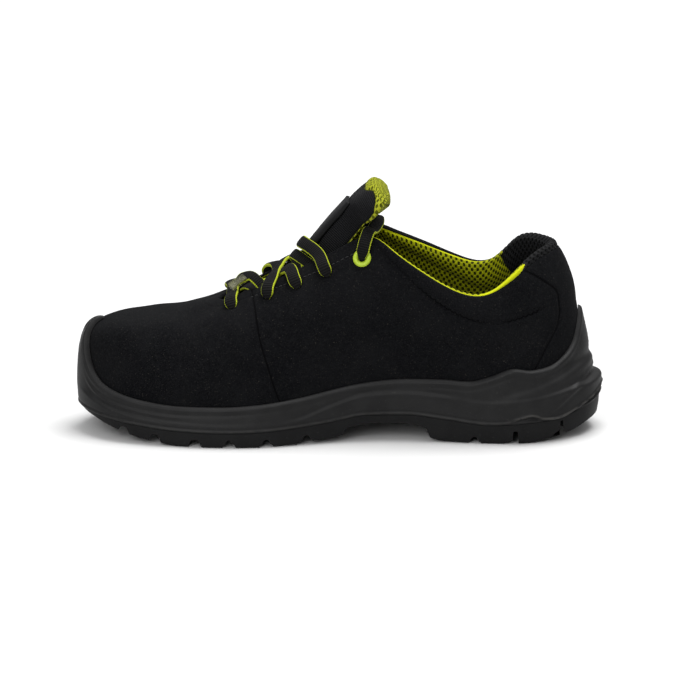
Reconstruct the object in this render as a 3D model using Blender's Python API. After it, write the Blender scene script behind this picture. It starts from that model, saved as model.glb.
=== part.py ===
"""Low safety shoe for the right foot: lugged outsole, cup midsole, insole, hollow upper, tongue and laces.

The toe points along +X, the inner side of the foot along +Y and the top along +Z. Sizes are in millimetres
and become metres when a mesh is made. The tables are drawn for one last and scaled to the driving dimensions.
"""

from collections import namedtuple

import bmesh
import bpy
import numpy as np

# Driving dimensions
LENGTH = 300.0
BALL_WIDTH = 106.0
INSTEP = 115.0
WALL = 2.2
GAP = 0.35
CUP_GAP = 0.6
INSOLE_THICK = 4.0
COLLAR_PUFF = 1.3
COLLAR_PAD = 4.2
RIM_ROUND = 2.6
OUTSOLE_INSET = 0.5
GROOVE_SHIFT = 4.5
HOLE_RADIUS = 2.6
HOLE_BELOW_EDGE = 12.5
EYELET_FLANGE = 5.2
EYELET_BORE = 1.7
EYELET_HEIGHT = 1.3
LACE_WIDTH = 7.2
LACE_THICK = 3.0
LACE_LIFT = 0.6
LACE_STAND = 0.5
HIGH_BAR_STAND = 2.4
LOOP_OVER_EDGES = (-15.6, -20.0)
LOOP_SIDES = ((-18.6, 11.0), (-22.2, -11.0))
LOOP_BEHIND = -20.8
TIP_START = (62.5, 11.0, 84.35)
TIP_END = (54.5, 6.5, 89.35)
TIP_WIDTH = 6.0
LABEL_WIDTH = 16.0
LABEL_THICK = 1.2
LABEL_LIFT = 0.55

# The last the tables were drawn for
TABLE_LENGTH = 300.0
TABLE_WIDTH = 106.0
TABLE_INSTEP = 115.0
ALONG = LENGTH / TABLE_LENGTH
ACROSS = BALL_WIDTH / TABLE_WIDTH
UP = INSTEP / TABLE_INSTEP
MM = 0.001

# Ribs of the upper, from the foot edge inside the sole to the edge of the opening, heel to toe.
# in and out are the inner and outer side of the foot. rise and bulge steer the lower end of a rib,
# drop and reach its upper end, and cuts is the number of grid columns up to the next rib.
Rib = namedtuple(
    "Rib",
    "place foot_x foot_in foot_out foot_z top_x top_in top_out high_in high_out rise bulge drop reach cuts",
)
RIBS = (
    Rib("heel back", -134.5, 5.0, 5.0, 27.0, -123.4, 5.0, 5.0, 109.4, 109.4, 28.0, 5.0, 24.0, 14.8, 5),
    Rib("heel corner", -127.0, 25.5, -15.5, 27.0, -116.8, 19.0, -9.0, 108.4, 109.0, 26.0, 4.0, 24.0, 10.0, 3),
    Rib("heel side", -110.0, 37.5, -27.5, 27.0, -102.5, 30.0, -20.0, 99.6, 105.2, 24.0, 4.0, 20.0, 6.0, 3),
    Rib("ankle back", -86.0, 39.0, -30.0, 26.5, -87.0, 35.5, -26.5, 87.6, 90.6, 22.0, 4.0, 18.0, 4.0, 2),
    Rib("ankle dip", -62.0, 37.0, -32.5, 25.0, -69.0, 35.5, -29.0, 87.5, 91.4, 22.0, 3.0, 18.0, 3.0, 2),
    Rib("ankle front", -38.0, 34.5, -35.5, 23.0, -49.0, 32.5, -28.0, 97.9, 100.4, 26.0, 3.0, 20.0, 5.0, 2),
    Rib("collar front", -15.0, 35.0, -39.5, 21.0, -31.0, 25.0, -23.0, 109.3, 109.4, 32.0, 2.0, 22.0, 9.0, 2),
    Rib("collar corner", 5.0, 38.5, -43.5, 19.0, -17.0, 17.0, -16.5, 116.4, 115.0, 36.0, 2.0, 20.0, 13.0, 2),
    Rib("eyestay top", 25.0, 43.0, -46.5, 17.0, 0.0, 15.0, -14.5, 109.0, 108.4, 36.0, 2.0, 16.0, 17.0, 2),
    Rib("eyestay middle", 47.0, 47.3, -48.0, 15.5, 20.0, 14.0, -13.5, 98.2, 97.7, 34.0, 2.0, 12.0, 20.0, 2),
    Rib("eyestay low", 69.0, 47.7, -46.5, 15.0, 40.0, 12.5, -12.0, 88.2, 88.0, 34.0, 2.0, 9.0, 23.0, 2),
    Rib("throat side", 92.0, 44.5, -42.0, 15.5, 56.0, 10.5, -10.0, 80.7, 80.5, 36.0, 2.0, 8.5, 26.0, 2),
    Rib("toe side", 114.0, 37.5, -34.0, 17.0, 65.0, 7.5, -6.5, 76.6, 76.6, 42.0, 3.0, 11.2, 32.0, 3),
    Rib("toe corner", 132.0, 26.5, -18.5, 19.0, 68.5, 3.9, -2.9, 75.2, 75.2, 51.0, 5.0, 15.2, 44.0, 8),
    Rib("toe tip", 143.0, 5.0, 5.0, 20.5, 69.5, 0.5, 0.5, 74.9, 74.9, 62.5, 8.4, 18.6, 64.0, 0),
)
LAST_RIB = len(RIBS) - 1

# Side of the midsole by place along the ribs: the edge over the outsole, the ledge and the shelf above it
Side = namedtuple("Side", "rib edge_z edge_out ledge_z ledge_out shelf_out")
SIDES = (
    Side(0.0, 22.0, 15.4, 33.2, 14.8, 9.4),
    Side(0.5, 19.5, 14.0, 32.2, 13.4, 9.0),
    Side(1.0, 16.0, 10.5, 30.8, 10.2, 7.4),
    Side(1.5, 13.6, 8.0, 29.0, 8.2, 6.3),
    Side(2.0, 12.8, 6.5, 27.0, 6.8, 5.5),
    Side(3.0, 11.2, 5.0, 25.0, 5.3, 4.7),
    Side(4.0, 13.8, 4.2, 27.5, 4.5, 3.9),
    Side(5.0, 16.0, 3.8, 29.3, 4.1, 3.5),
    Side(6.0, 15.8, 3.8, 28.0, 4.1, 3.4),
    Side(7.0, 13.0, 4.2, 22.5, 4.3, 3.7),
    Side(8.0, 10.8, 4.8, 15.5, 4.8, 4.3),
    Side(9.0, 9.2, 5.0, 12.8, 5.1, 4.8),
    Side(10.0, 8.7, 5.0, 12.0, 5.2, 4.9),
    Side(11.0, 9.2, 5.0, 13.0, 5.2, 4.9),
    Side(12.0, 10.8, 5.4, 15.8, 5.6, 4.9),
    Side(13.0, 13.2, 6.2, 20.4, 6.5, 5.0),
    Side(14.0, 15.2, 6.7, 27.0, 6.8, 6.7),
)

# Rim of the midsole by place along the ribs: its height and how far it stands off the upper
Rim = namedtuple("Rim", "rib height off")
RIMS = (
    Rim(0.0, 72.4, 3.0),
    Rim(0.3, 64.6, 3.4),
    Rim(0.6, 55.0, 3.6),
    Rim(1.0, 48.5, 3.5),
    Rim(1.5, 44.0, 3.3),
    Rim(2.0, 43.0, 3.2),
    Rim(2.4, 44.4, 3.2),
    Rim(3.0, 39.6, 3.2),
    Rim(3.5, 36.6, 3.2),
    Rim(4.2, 37.4, 3.2),
    Rim(5.0, 37.2, 3.1),
    Rim(6.0, 35.0, 3.0),
    Rim(7.0, 31.6, 3.0),
    Rim(8.0, 27.6, 3.0),
    Rim(9.0, 24.8, 3.2),
    Rim(10.0, 23.4, 3.2),
    Rim(11.0, 23.2, 3.2),
    Rim(12.0, 25.0, 3.4),
    Rim(12.8, 28.4, 3.5),
    Rim(13.15, 31.4, 3.8),
    Rim(13.4, 36.0, 4.1),
    Rim(13.56, 41.0, 4.3),
    Rim(13.7, 47.2, 4.5),
    Rim(13.82, 53.8, 4.5),
    Rim(13.92, 60.2, 4.2),
    Rim(14.0, 63.9, 3.6),
)

# Tread of the outsole by place along the ribs: its lowest edge and how far that stands off the foot edge
Tread = namedtuple("Tread", "rib low off")
TREADS = (
    Tread(0.0, 9.6, 13.2),
    Tread(0.5, 8.4, 12.0),
    Tread(1.0, 5.0, 9.0),
    Tread(1.6, 1.9, 5.0),
    Tread(2.0, 0.6, 4.4),
    Tread(2.5, 0.0, 4.0),
    Tread(3.0, 0.0, 3.6),
    Tread(4.0, 0.8, 3.0),
    Tread(4.4, 2.4, 2.8),
    Tread(4.5, 8.0, 2.8),
    Tread(5.0, 10.4, 2.6),
    Tread(5.6, 11.0, 2.6),
    Tread(6.2, 9.6, 2.6),
    Tread(6.6, 7.6, 2.8),
    Tread(6.7, 4.4, 2.8),
    Tread(7.5, 2.2, 3.2),
    Tread(8.3, 0.6, 3.6),
    Tread(9.0, 0.0, 4.0),
    Tread(10.8, 0.0, 4.0),
    Tread(11.6, 1.8, 3.8),
    Tread(12.4, 4.8, 3.4),
    Tread(13.0, 7.8, 2.6),
    Tread(14.0, 11.2, 1.0),
)

# Grooves between the lugs: place, width at the ground and at the bottom, depth, slant and the uncut middle
Groove = namedtuple("Groove", "x wide narrow depth slant middle")
GROOVES = (
    Groove(122.0, 6.6, 3.6, 4.0, 2.0, 0.0),
    Groove(103.0, 7.4, 3.6, 4.6, 3.0, 0.0),
    Groove(81.2, 8.4, 3.8, 4.4, 2.0, 0.0),
    Groove(63.4, 8.8, 1.8, 4.6, 0.0, 0.0),
    Groove(44.0, 8.8, 1.8, 4.6, -2.0, 0.0),
    Groove(22.0, 8.6, 1.8, 4.4, -3.0, 0.0),
    Groove(-77.4, 8.0, 1.8, 3.8, 0.0, 0.0),
    Groove(-98.6, 10.4, 1.0, 1.9, 0.0, 0.0),
    Groove(-101.0, 3.6, 2.4, 7.6, 0.0, 22.0),
    Groove(-126.6, 6.0, 1.0, 1.6, 0.0, 0.0),
    Groove(-127.5, 3.0, 2.0, 7.0, 0.0, 22.0),
)

# Channels along the middle of the tread: start, end, place across, width and depth
Channel = namedtuple("Channel", "start end across width depth")
CHANNELS = (
    Channel(10.0, 108.0, 1.0, 8.0, 3.2),
    Channel(-120.0, -60.0, 4.5, 8.0, 3.2),
)

# Collar padding by place along the ribs: how far down it reaches and how full it is
Pad = namedtuple("Pad", "rib depth fill")
PADS = (
    Pad(0.0, 36.0, 1.0),
    Pad(1.0, 36.0, 1.0),
    Pad(2.0, 31.0, 1.0),
    Pad(3.0, 19.0, 1.0),
    Pad(4.0, 13.5, 1.0),
    Pad(5.0, 11.0, 0.9),
    Pad(6.0, 9.0, 0.6),
    Pad(7.0, 8.0, 0.1),
    Pad(7.5, 8.0, 0.0),
    Pad(14.0, 8.0, 0.0),
)

# Tongue from its root under the vamp to its padded top: middle of its front, half width, thickness, side sag
Lick = namedtuple("Lick", "place x z half thick sag")
LICKS = (
    Lick("root", 73.0, 69.4, 17.0, 3.2, 2.8),
    Lick("under vamp", 62.0, 74.0, 20.0, 3.8, 3.8),
    Lick("throat", 50.0, 79.8, 20.0, 4.4, 5.4),
    Lick("bend", 34.5, 89.0, 17.0, 5.0, 9.5),
    Lick("instep", 23.0, 100.5, 12.4, 6.0, 12.5),
    Lick("collar", 13.5, 112.0, 12.2, 5.6, 14.2),
    Lick("neck", 1.5, 126.2, 12.2, 7.6, 13.2),
    Lick("shoulder", -4.0, 132.0, 14.8, 10.0, 11.4),
    Lick("head", -8.5, 136.4, 21.0, 13.4, 10.0),
    Lick("crown", -13.8, 140.8, 23.0, 16.2, 8.0),
    Lick("top", -18.6, 144.0, 20.0, 16.0, 6.0),
)

# Lace holes on each eyestay, from the toe to the top
EYELETS = (61.5, 41.0, 24.4, 7.2, -13.0)
TOP_EYELET = 4

# Lines of grid rows as shares of a rib's length, from the foot edge up
UPPER_ROWS = (0.0, 0.14, 0.27, 0.40, 0.52, 0.64, 0.74, 0.82, 0.89, 0.945, 1.0)
FINE_STEPS = 60
TONGUE_SIDES = 5
TONGUE_ROWS = 17
LABEL_FIRST_ROW = 7
LABEL_LAST_ROW = 12
LACE_SIDES = 10
BAR_STEPS = 15
LOOP_STEPS = 19
RING_SIDES = 16
HOLE_SIDES = 12

# Ribs between which the lace holes and the edge of the eyestay are looked for
HOLE_RIBS = np.linspace(6.0, 12.5, 261)
EDGE_RIBS = np.linspace(6.5, 13.0, 400)

# Small sizes of the pieces
CREST_RISE = 0.2
HOLE_CUT_DOWN = -5.0
HOLE_CUT_UP = 4.0
EDGE_INSET = 0.3
EDGE_ROUND = 1.6
EDGE_BULGE = 0.2
LEDGE_ROUND = 0.9
RIM_LIP = 0.6
RIM_WAIST = 0.5
RIM_TOP_INSET = 0.9
TREAD_ROUND = 0.8
TREAD_CORNER = 0.06
LUG_WAIST_UP = 0.45
LUG_WAIST_OUT = 0.62
GROOVE_REACH = 0.65
GROOVE_FLARE = 1.6
TONGUE_EDGE_THIN = 0.62
INSOLE_ROUND = 0.8
EYELET_SEAT = 0.25
EYELET_LIP = 0.3
BAR_EDGE_LIFT = 0.6
BAR_HOLE_LIFT = 0.3
BAR_EDGE_SHARE = 0.62
LOW_BAR_X = 60.5
CROSS_X = 33.0
HIGH_BAR_X = 18.4
LOOP_EDGE_BACK = -1.5
LOOP_EDGE_LIFT = 1.4
LOOP_DIP = 0.8
LOOP_SEAT = 0.1
LOOP_SIDE_LIFT = 0.3
LOOP_FACING = (-0.45, 0.0, 0.9)
LOOP_TURN = (6.0, 16.0)
TIP_FACING = (0.3, 0.55, 0.78)

# Wall of the midsole from the ledge to the rim: share of the way up, parts of shelf and rim, inset and lean
Wall = namedtuple("Wall", "share shelf rim inset lean")
WALLS = (
    Wall(0.3, 0.6, 0.4, 0.1, 0.25),
    Wall(0.6, 0.3, 0.7, 0.2, 0.5),
)

Look = namedtuple("Look", "red green blue roughness metallic")
SUEDE = Look(0.011, 0.011, 0.012, 0.85, 0.0)
MIDSOLE_RUBBER = Look(0.030, 0.030, 0.031, 0.55, 0.0)
OUTSOLE_RUBBER = Look(0.016, 0.016, 0.017, 0.6, 0.0)
BED_CLOTH = Look(0.018, 0.018, 0.018, 0.9, 0.0)
TONGUE_CLOTH = Look(0.014, 0.014, 0.014, 0.8, 0.0)
LABEL_PLASTIC = Look(0.022, 0.022, 0.023, 0.4, 0.0)
EYELET_PLASTIC = Look(0.45, 0.60, 0.045, 0.45, 0.0)
LACE_CLOTH = Look(0.015, 0.015, 0.015, 0.8, 0.0)
TIP_PLASTIC = Look(0.55, 0.57, 0.55, 0.2, 0.0)


def clear_scene():
    for item in list(bpy.data.objects):
        bpy.data.objects.remove(item, do_unlink=True)


def make_material(name, look):
    material = bpy.data.materials.new(name)
    material.use_nodes = True
    shader = material.node_tree.nodes["Principled BSDF"]
    shader.inputs["Base Color"].default_value = (look.red, look.green, look.blue, 1.0)
    shader.inputs["Roughness"].default_value = look.roughness
    shader.inputs["Metallic"].default_value = look.metallic
    return material


def make_object(name, points, faces, look):
    """A named object from points in millimetres, with its faces turned outwards."""
    mesh = bpy.data.meshes.new(name)
    mesh.from_pydata((np.asarray(points) * MM).tolist(), [], [list(face) for face in faces])
    tidy(mesh)
    thing = bpy.data.objects.new(name, mesh)
    bpy.context.scene.collection.objects.link(thing)
    if look is not None:
        mesh.materials.append(make_material(name, look))
    return thing


def tidy(mesh):
    work = bmesh.new()
    work.from_mesh(mesh)
    bmesh.ops.remove_doubles(work, verts=work.verts, dist=2e-6)
    bmesh.ops.triangulate(work, faces=work.faces)
    bmesh.ops.dissolve_degenerate(work, edges=work.edges, dist=1e-6)
    bmesh.ops.triangulate(work, faces=work.faces)
    bmesh.ops.recalc_face_normals(work, faces=work.faces)
    work.to_mesh(mesh)
    work.free()


def combine(base, tool, operation):
    """Applies a Boolean of tool to base and removes the tool."""
    step = base.modifiers.new("step", "BOOLEAN")
    step.operation = operation
    step.solver = "EXACT"
    step.object = tool
    graph = bpy.context.evaluated_depsgraph_get()
    result = bpy.data.meshes.new_from_object(base.evaluated_get(graph))
    base.modifiers.clear()
    old = base.data
    base.data = result
    bpy.data.meshes.remove(old)
    bpy.data.objects.remove(tool, do_unlink=True)
    tidy(base.data)


def unit(vectors):
    return vectors / np.maximum(np.linalg.norm(vectors, axis=-1, keepdims=True), 1e-9)


def smooth(share):
    share = np.clip(share, 0.0, 1.0)
    return share * share * (3.0 - 2.0 * share)


def curve(rows, column):
    """A smooth curve through one column of a table, with no overshoot, by place along the first column."""
    spots = np.array([row[0] for row in rows], float)
    values = np.array([getattr(row, column) for row in rows], float)
    return curve_through(spots, values)


def curve_through(spots, values):
    gaps = np.diff(spots)
    slopes = np.diff(values) / gaps
    ends = np.zeros(len(spots))
    for k in range(1, len(spots) - 1):
        if slopes[k - 1] * slopes[k] > 0.0:
            before = 2.0 * gaps[k] + gaps[k - 1]
            after = gaps[k] + 2.0 * gaps[k - 1]
            ends[k] = (before + after) / (before / slopes[k - 1] + after / slopes[k])

    def at(place):
        place = np.clip(np.asarray(place, float), spots[0], spots[-1])
        k = np.clip(np.searchsorted(spots, place, side="right") - 1, 0, len(spots) - 2)
        share = (place - spots[k]) / gaps[k]
        rest = 1.0 - share
        return (
            values[k] * rest * rest * (1.0 + 2.0 * share)
            + values[k + 1] * share * share * (3.0 - 2.0 * share)
            + ends[k] * gaps[k] * share * rest * rest
            - ends[k + 1] * gaps[k] * share * share * rest
        )

    return at


def spline_loop(nodes):
    """A closed cubic spline through the nodes, one unit of place from each to the next."""
    nodes = np.asarray(nodes, float)
    count = len(nodes)
    matrix = 4.0 * np.eye(count) + np.roll(np.eye(count), 1, 0) + np.roll(np.eye(count), -1, 0)
    control = np.linalg.solve(matrix / 6.0, nodes)

    def at(place):
        place = np.asarray(place, float)
        start = np.floor(place).astype(int)
        f = place - start
        shares = ((1 - f) ** 3, 3 * f**3 - 6 * f**2 + 4, -3 * f**3 + 3 * f**2 + 3 * f + 1, f**3)
        total = 0.0
        for k, share in enumerate(shares):
            total = total + share[..., None] * control[(start + k - 1) % count]
        return total / 6.0

    return at


def rib_nodes():
    """One row of steering values for each rib of the inner side, then of the outer side back to the heel."""
    rows = []
    order = [(rib, True) for rib in RIBS] + [(rib, False) for rib in RIBS[-2:0:-1]]
    for rib, inner in order:
        foot_y = rib.foot_in if inner else rib.foot_out
        top_y = rib.top_in if inner else rib.top_out
        high = rib.high_in if inner else rib.high_out
        rows.append(
            (
                rib.foot_x * ALONG, foot_y * ACROSS, rib.foot_z * UP,
                rib.top_x * ALONG, top_y * ACROSS, high * UP,
                rib.rise * UP, rib.bulge * ACROSS, rib.drop * UP, rib.reach * ALONG,
            )
        )
    return rows


steer = spline_loop(rib_nodes())


def rib_place(place):
    """Place along the ribs, 0 at the heel and LAST_RIB at the toe, on either side."""
    place = np.asarray(place, float)
    return np.where(place > LAST_RIB, 2 * LAST_RIB - place, place)


def outward(place):
    ahead = steer(place + 0.01)[..., :2] - steer(place - 0.01)[..., :2]
    flat = np.stack([-ahead[..., 1], ahead[..., 0], np.zeros_like(ahead[..., 0])], axis=-1)
    return unit(flat)


def skin(place, share):
    """A point of the upper's plain outer face: place round the shoe, share of the way up the rib's curve."""
    values = steer(place)
    away = outward(place)
    up = np.array([0.0, 0.0, 1.0])
    foot = values[..., 0:3]
    top = values[..., 3:6]
    low = foot + up * values[..., 6:7] + away * values[..., 7:8]
    high = top - up * values[..., 8:9] + away * values[..., 9:10]
    s = np.asarray(share, float)[..., None]
    r = 1.0 - s
    return foot * r**3 + low * (3.0 * s * r**2) + high * (3.0 * s**2 * r) + top * s**3


def skin_normal(place, share):
    step = 1e-3
    share = np.clip(share, step, 1.0 - step)
    along = skin(place + step, share) - skin(place - step, share)
    up = skin(place, share + step) - skin(place, share - step)
    return unit(np.cross(up, along))


def even_shares(place, parts):
    """Shares of each rib's curve at given parts of its length, and the rib's length."""
    fine = np.linspace(0.0, 1.0, FINE_STEPS + 1)
    points = skin(place[:, None] + 0.0 * fine[None], fine[None] + 0.0 * place[:, None])
    steps = np.linalg.norm(np.diff(points, axis=1), axis=-1)
    run = np.concatenate([np.zeros((len(place), 1)), np.cumsum(steps, axis=1)], axis=1)
    shares = np.array([np.interp(np.asarray(parts) * row[-1], row, fine) for row in run])
    return shares, run[:, -1]


def share_at_height(place, height):
    low = np.zeros_like(place)
    high = np.ones_like(place)
    for _ in range(30):
        middle = 0.5 * (low + high)
        below = skin(place, middle)[..., 2] < height
        low = np.where(below, middle, low)
        high = np.where(below, high, middle)
    return 0.5 * (low + high)


pad_depth = curve(PADS, "depth")
pad_fill = curve(PADS, "fill")


def pad_shape(place, below):
    """How full the collar padding is at a distance below the edge of the opening."""
    rib = rib_place(place)
    down = below / pad_depth(rib)
    fade = np.where(down < 1.0, np.sin(np.pi * np.clip(0.18 + 0.82 * down, 0.0, 1.0)), 0.0)
    return pad_fill(rib) * np.maximum(fade, 0.0)


def columns():
    """Places of the grid columns once round the shoe."""
    half = []
    for k, rib in enumerate(RIBS[:-1]):
        half.extend(k + j / rib.cuts for j in range(rib.cuts))
    inner = half + [float(LAST_RIB)]
    outer = [2.0 * LAST_RIB - place for place in half[:0:-1]]
    return np.array(inner + outer)


def ring_faces(rows, count, closed):
    """Quads between rings of count points each; a closed set of rings joins the last to the first."""
    faces = []
    for j in range(rows if closed else rows - 1):
        below = j * count
        above = ((j + 1) % rows) * count
        for i in range(count):
            k = (i + 1) % count
            faces.append((below + i, below + k, above + k, above + i))
    return faces


def cap_faces(start, count):
    """Faces that span a ring of columns from its inner to its outer side."""
    faces = []
    last = count // 2
    for i in range(1, last - 1):
        faces.append((start + i, start + i + 1, start + count - i - 1, start + count - i))
    faces.append((start, start + 1, start + count - 1))
    faces.append((start + last - 1, start + last, start + last + 1))
    return faces


def upper_grid(place, parts):
    """Outer and inner faces of the upper at columns by parts of the ribs' lengths."""
    shares, lengths = even_shares(place, parts)
    around = place[:, None] + 0.0 * shares
    below = (1.0 - np.asarray(parts))[None] * lengths[:, None]
    full = pad_shape(around, below)[..., None]
    normal = skin_normal(around, shares)
    outer = skin(around, shares) + normal * COLLAR_PUFF * full
    inner = outer - normal * (WALL + (COLLAR_PUFF + COLLAR_PAD) * full)
    return outer, inner, normal


def build_upper():
    place = columns()
    count = len(place)
    outer, inner, _ = upper_grid(place, UPPER_ROWS)
    rise = unit(outer[:, -1] - outer[:, -2])
    width = np.linalg.norm(outer[:, -1] - inner[:, -1], axis=-1, keepdims=True)
    crest = 0.5 * (outer[:, -1] + inner[:, -1]) + rise * width * CREST_RISE
    rings = [outer[:, j] for j in range(len(UPPER_ROWS))]
    rings.append(crest)
    rings.extend(inner[:, j] for j in range(len(UPPER_ROWS) - 1, -1, -1))
    return make_object("upper", np.concatenate(rings), ring_faces(len(rings), count, True), SUEDE)


def hole_spots():
    """Middle and outward direction of each lace hole, inner side then outer side."""
    spots = []
    for inner in (True, False):
        place = HOLE_RIBS if inner else 2.0 * LAST_RIB - HOLE_RIBS
        _, lengths = even_shares(place, (0.0, 1.0))
        parts = 1.0 - HOLE_BELOW_EDGE / lengths
        shares = np.array(
            [even_shares(place[k : k + 1], (parts[k],))[0][0, 0] for k in range(len(place))]
        )
        points = skin(place, shares)
        normals = skin_normal(place, shares)
        side = []
        for along in EYELETS:
            k = int(np.argmin(np.abs(points[:, 0] - along * ALONG)))
            side.append((points[k], normals[k]))
        spots.append(side)
    return spots


def frame_for(axis):
    """Two directions square to an axis."""
    helper = np.array([1.0, 0.0, 0.0])
    first = unit(np.cross(axis, helper))
    return first, np.cross(axis, first)


def lathe(name, centre, axis, outline, look, sides):
    """A closed ring turned about an axis from an outline of radius and height."""
    first, second = frame_for(axis)
    points = []
    for radius, height in outline:
        for k in range(sides):
            angle = 2.0 * np.pi * k / sides
            side = first * np.cos(angle) + second * np.sin(angle)
            points.append(centre + side * radius + axis * height)
    return make_object(name, points, ring_faces(len(outline), sides, True), look)


def rod(centre, axis, radius, down, up, sides):
    first, second = frame_for(axis)
    points = []
    for height in (down, up):
        for k in range(sides):
            angle = 2.0 * np.pi * k / sides
            side = first * np.cos(angle) + second * np.sin(angle)
            points.append(centre + side * radius + axis * height)
    faces = ring_faces(2, sides, False)
    faces.append(tuple(range(sides - 1, -1, -1)))
    faces.append(tuple(range(sides, 2 * sides)))
    return make_object("cutter", points, faces, None)


def cut_holes(upper, spots):
    for side in spots:
        for centre, axis in side:
            cutter = rod(centre, axis, HOLE_RADIUS, HOLE_CUT_DOWN, HOLE_CUT_UP, HOLE_SIDES)
            combine(upper, cutter, "DIFFERENCE")


side_lines = {name: curve(SIDES, name) for name in Side._fields[1:]}
rim_height = curve(RIMS, "height")
rim_off = curve(RIMS, "off")
tread_low = curve(TREADS, "low")
tread_off = curve(TREADS, "off")


def off_upper(place, height, off, lean):
    """A point at a height and a distance off the upper; lean 0 goes level, lean 1 square to its face."""
    share = share_at_height(place, height)
    base = skin(place, share)
    base[:, 2] = np.minimum(base[:, 2], height)
    under = (height < steer(place)[:, 2])[:, None]
    base = np.where(under, np.stack([base[:, 0], base[:, 1], height], axis=-1), base)
    level = outward(place)
    square = skin_normal(place, share)
    way = unit(level * (1.0 - lean) + square * lean)
    return base + way * np.asarray(off)[:, None]


def midsole_rings(place):
    """Rings of the midsole from the bottom edge, up its side, over the rim and down the inside."""
    rib = rib_place(place)
    line = {name: at(rib) for name, at in side_lines.items()}
    edge = line["edge_z"] * UP
    ledge = line["ledge_z"] * UP
    rim = rim_height(rib) * UP
    off = rim_off(rib)
    tall = rim - ledge
    rings = [
        off_upper(place, edge, line["edge_out"] - EDGE_INSET, 0.0),
        off_upper(place, edge + EDGE_ROUND, line["edge_out"] + EDGE_BULGE, 0.0),
        off_upper(place, ledge - LEDGE_ROUND, line["ledge_out"], 0.0),
        off_upper(place, ledge + LEDGE_ROUND, line["shelf_out"], 0.0),
    ]
    for row in WALLS:
        out = row.shelf * line["shelf_out"] + row.rim * off - row.inset
        rings.append(off_upper(place, ledge + row.share * tall, out, row.lean))
    rings.extend(
        [
            off_upper(place, rim - RIM_ROUND - RIM_LIP, off - RIM_WAIST, 0.7),
            off_upper(place, rim - 0.5 * RIM_ROUND, off, 1.0),
            off_upper(place, rim, off - RIM_TOP_INSET, 1.0),
            off_upper(place, rim, 0.0 * off + CUP_GAP, 1.0),
        ]
    )
    top = share_at_height(place, rim)
    shares, _ = even_shares(place, UPPER_ROWS)
    for j in range(len(UPPER_ROWS) - 1, -1, -1):
        share = np.minimum(shares[:, j], top)
        if np.any(share < top - 1e-6):
            rings.append(skin(place, share) + skin_normal(place, share) * CUP_GAP)
    rings.append(steer(place)[:, 0:3] + outward(place) * CUP_GAP - np.array([0.0, 0.0, CUP_GAP]))
    return rings


def build_midsole():
    place = columns()
    count = len(place)
    rings = midsole_rings(place)
    faces = ring_faces(len(rings), count, False)
    faces.extend(cap_faces(0, count))
    faces.extend(cap_faces((len(rings) - 1) * count, count))
    return make_object("midsole", np.concatenate(rings), faces, MIDSOLE_RUBBER)


def build_outsole():
    place = columns()
    count = len(place)
    rib = rib_place(place)
    edge = side_lines["edge_z"](rib) * UP - GAP
    out = side_lines["edge_out"](rib) - EDGE_INSET - OUTSOLE_INSET
    low = tread_low(rib) * UP
    low_out = tread_off(rib)
    rings = [
        off_upper(place, edge, out, 0.0),
        off_upper(place, low + LUG_WAIST_UP * (edge - low), low_out + LUG_WAIST_OUT * (out - low_out), 0.0),
        off_upper(place, low + TREAD_CORNER * (edge - low), low_out, 0.0),
        off_upper(place, low, low_out - TREAD_ROUND, 0.0),
    ]
    faces = ring_faces(len(rings), count, False)
    faces.extend(cap_faces(0, count))
    faces.extend(cap_faces((len(rings) - 1) * count, count))
    outsole = make_object("outsole", np.concatenate(rings), faces, OUTSOLE_RUBBER)
    for groove in GROOVES:
        for cutter in groove_cutters(groove, place, low):
            combine(outsole, cutter, "DIFFERENCE")
    for channel in CHANNELS:
        combine(outsole, channel_cutter(channel), "DIFFERENCE")
    return outsole


def channel_cutter(channel):
    """A straight box along the middle of the tread."""
    points = []
    for height in (-channel.depth, channel.depth):
        for side in (-0.5, 0.5):
            for x in (channel.start, channel.end):
                points.append((x * ALONG, (channel.across + side * channel.width) * ACROSS, height))
    faces = [(0, 1, 3, 2), (4, 6, 7, 5), (0, 4, 5, 1), (2, 3, 7, 6), (0, 2, 6, 4), (1, 5, 7, 3)]
    return make_object("cutter", points, faces, None)


def groove_cutters(groove, place, low):
    """Slanted wedges across the sole, as deep as the groove: one, or one at each side of the middle."""
    half = len(place) // 2
    line = steer(place[: half + 1])[:, 0]
    x = groove.x * ALONG
    ground = float(np.interp(x, line, low[: half + 1]))
    reach = GROOVE_REACH * BALL_WIDTH
    spans = [(-reach, reach)]
    if groove.middle > 0.0:
        spans = [(-reach, -0.5 * groove.middle), (0.5 * groove.middle + 2.0 * GROOVE_SHIFT, reach)]
    cutters = []
    for span in spans:
        points = []
        for side in span:
            slide = groove.slant * abs(side) / reach
            for width, height in (
                (groove.wide * GROOVE_FLARE, -groove.depth),
                (groove.wide, 0.0),
                (groove.narrow, groove.depth),
            ):
                points.append((x + slide - 0.5 * width, side, ground + height))
                points.append((x + slide + 0.5 * width, side, ground + height))
        faces = [(0, 1, 3, 5, 4, 2), (6, 8, 10, 11, 9, 7)]
        loop = (0, 1, 3, 5, 4, 2)
        for k, first in enumerate(loop):
            second = loop[(k + 1) % len(loop)]
            faces.append((first, second, second + 6, first + 6))
        cutters.append(make_object("cutter", points, faces, None))
    return cutters


def build_insole():
    place = columns()
    count = len(place)
    inside = -(WALL + 2.0 * GAP)
    foot = steer(place)
    away = outward(place)
    base = foot[:, 0:3] + away * inside
    rings = []
    for lift, shrink in ((0.0, 0.0), (0.7 * INSOLE_THICK, 0.0), (INSOLE_THICK, -INSOLE_ROUND)):
        rings.append(base + away * shrink + np.array([0.0, 0.0, lift]))
    faces = ring_faces(len(rings), count, False)
    faces.extend(cap_faces(0, count))
    faces.extend(cap_faces((len(rings) - 1) * count, count))
    return make_object("insole", np.concatenate(rings), faces, BED_CLOTH)


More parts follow.
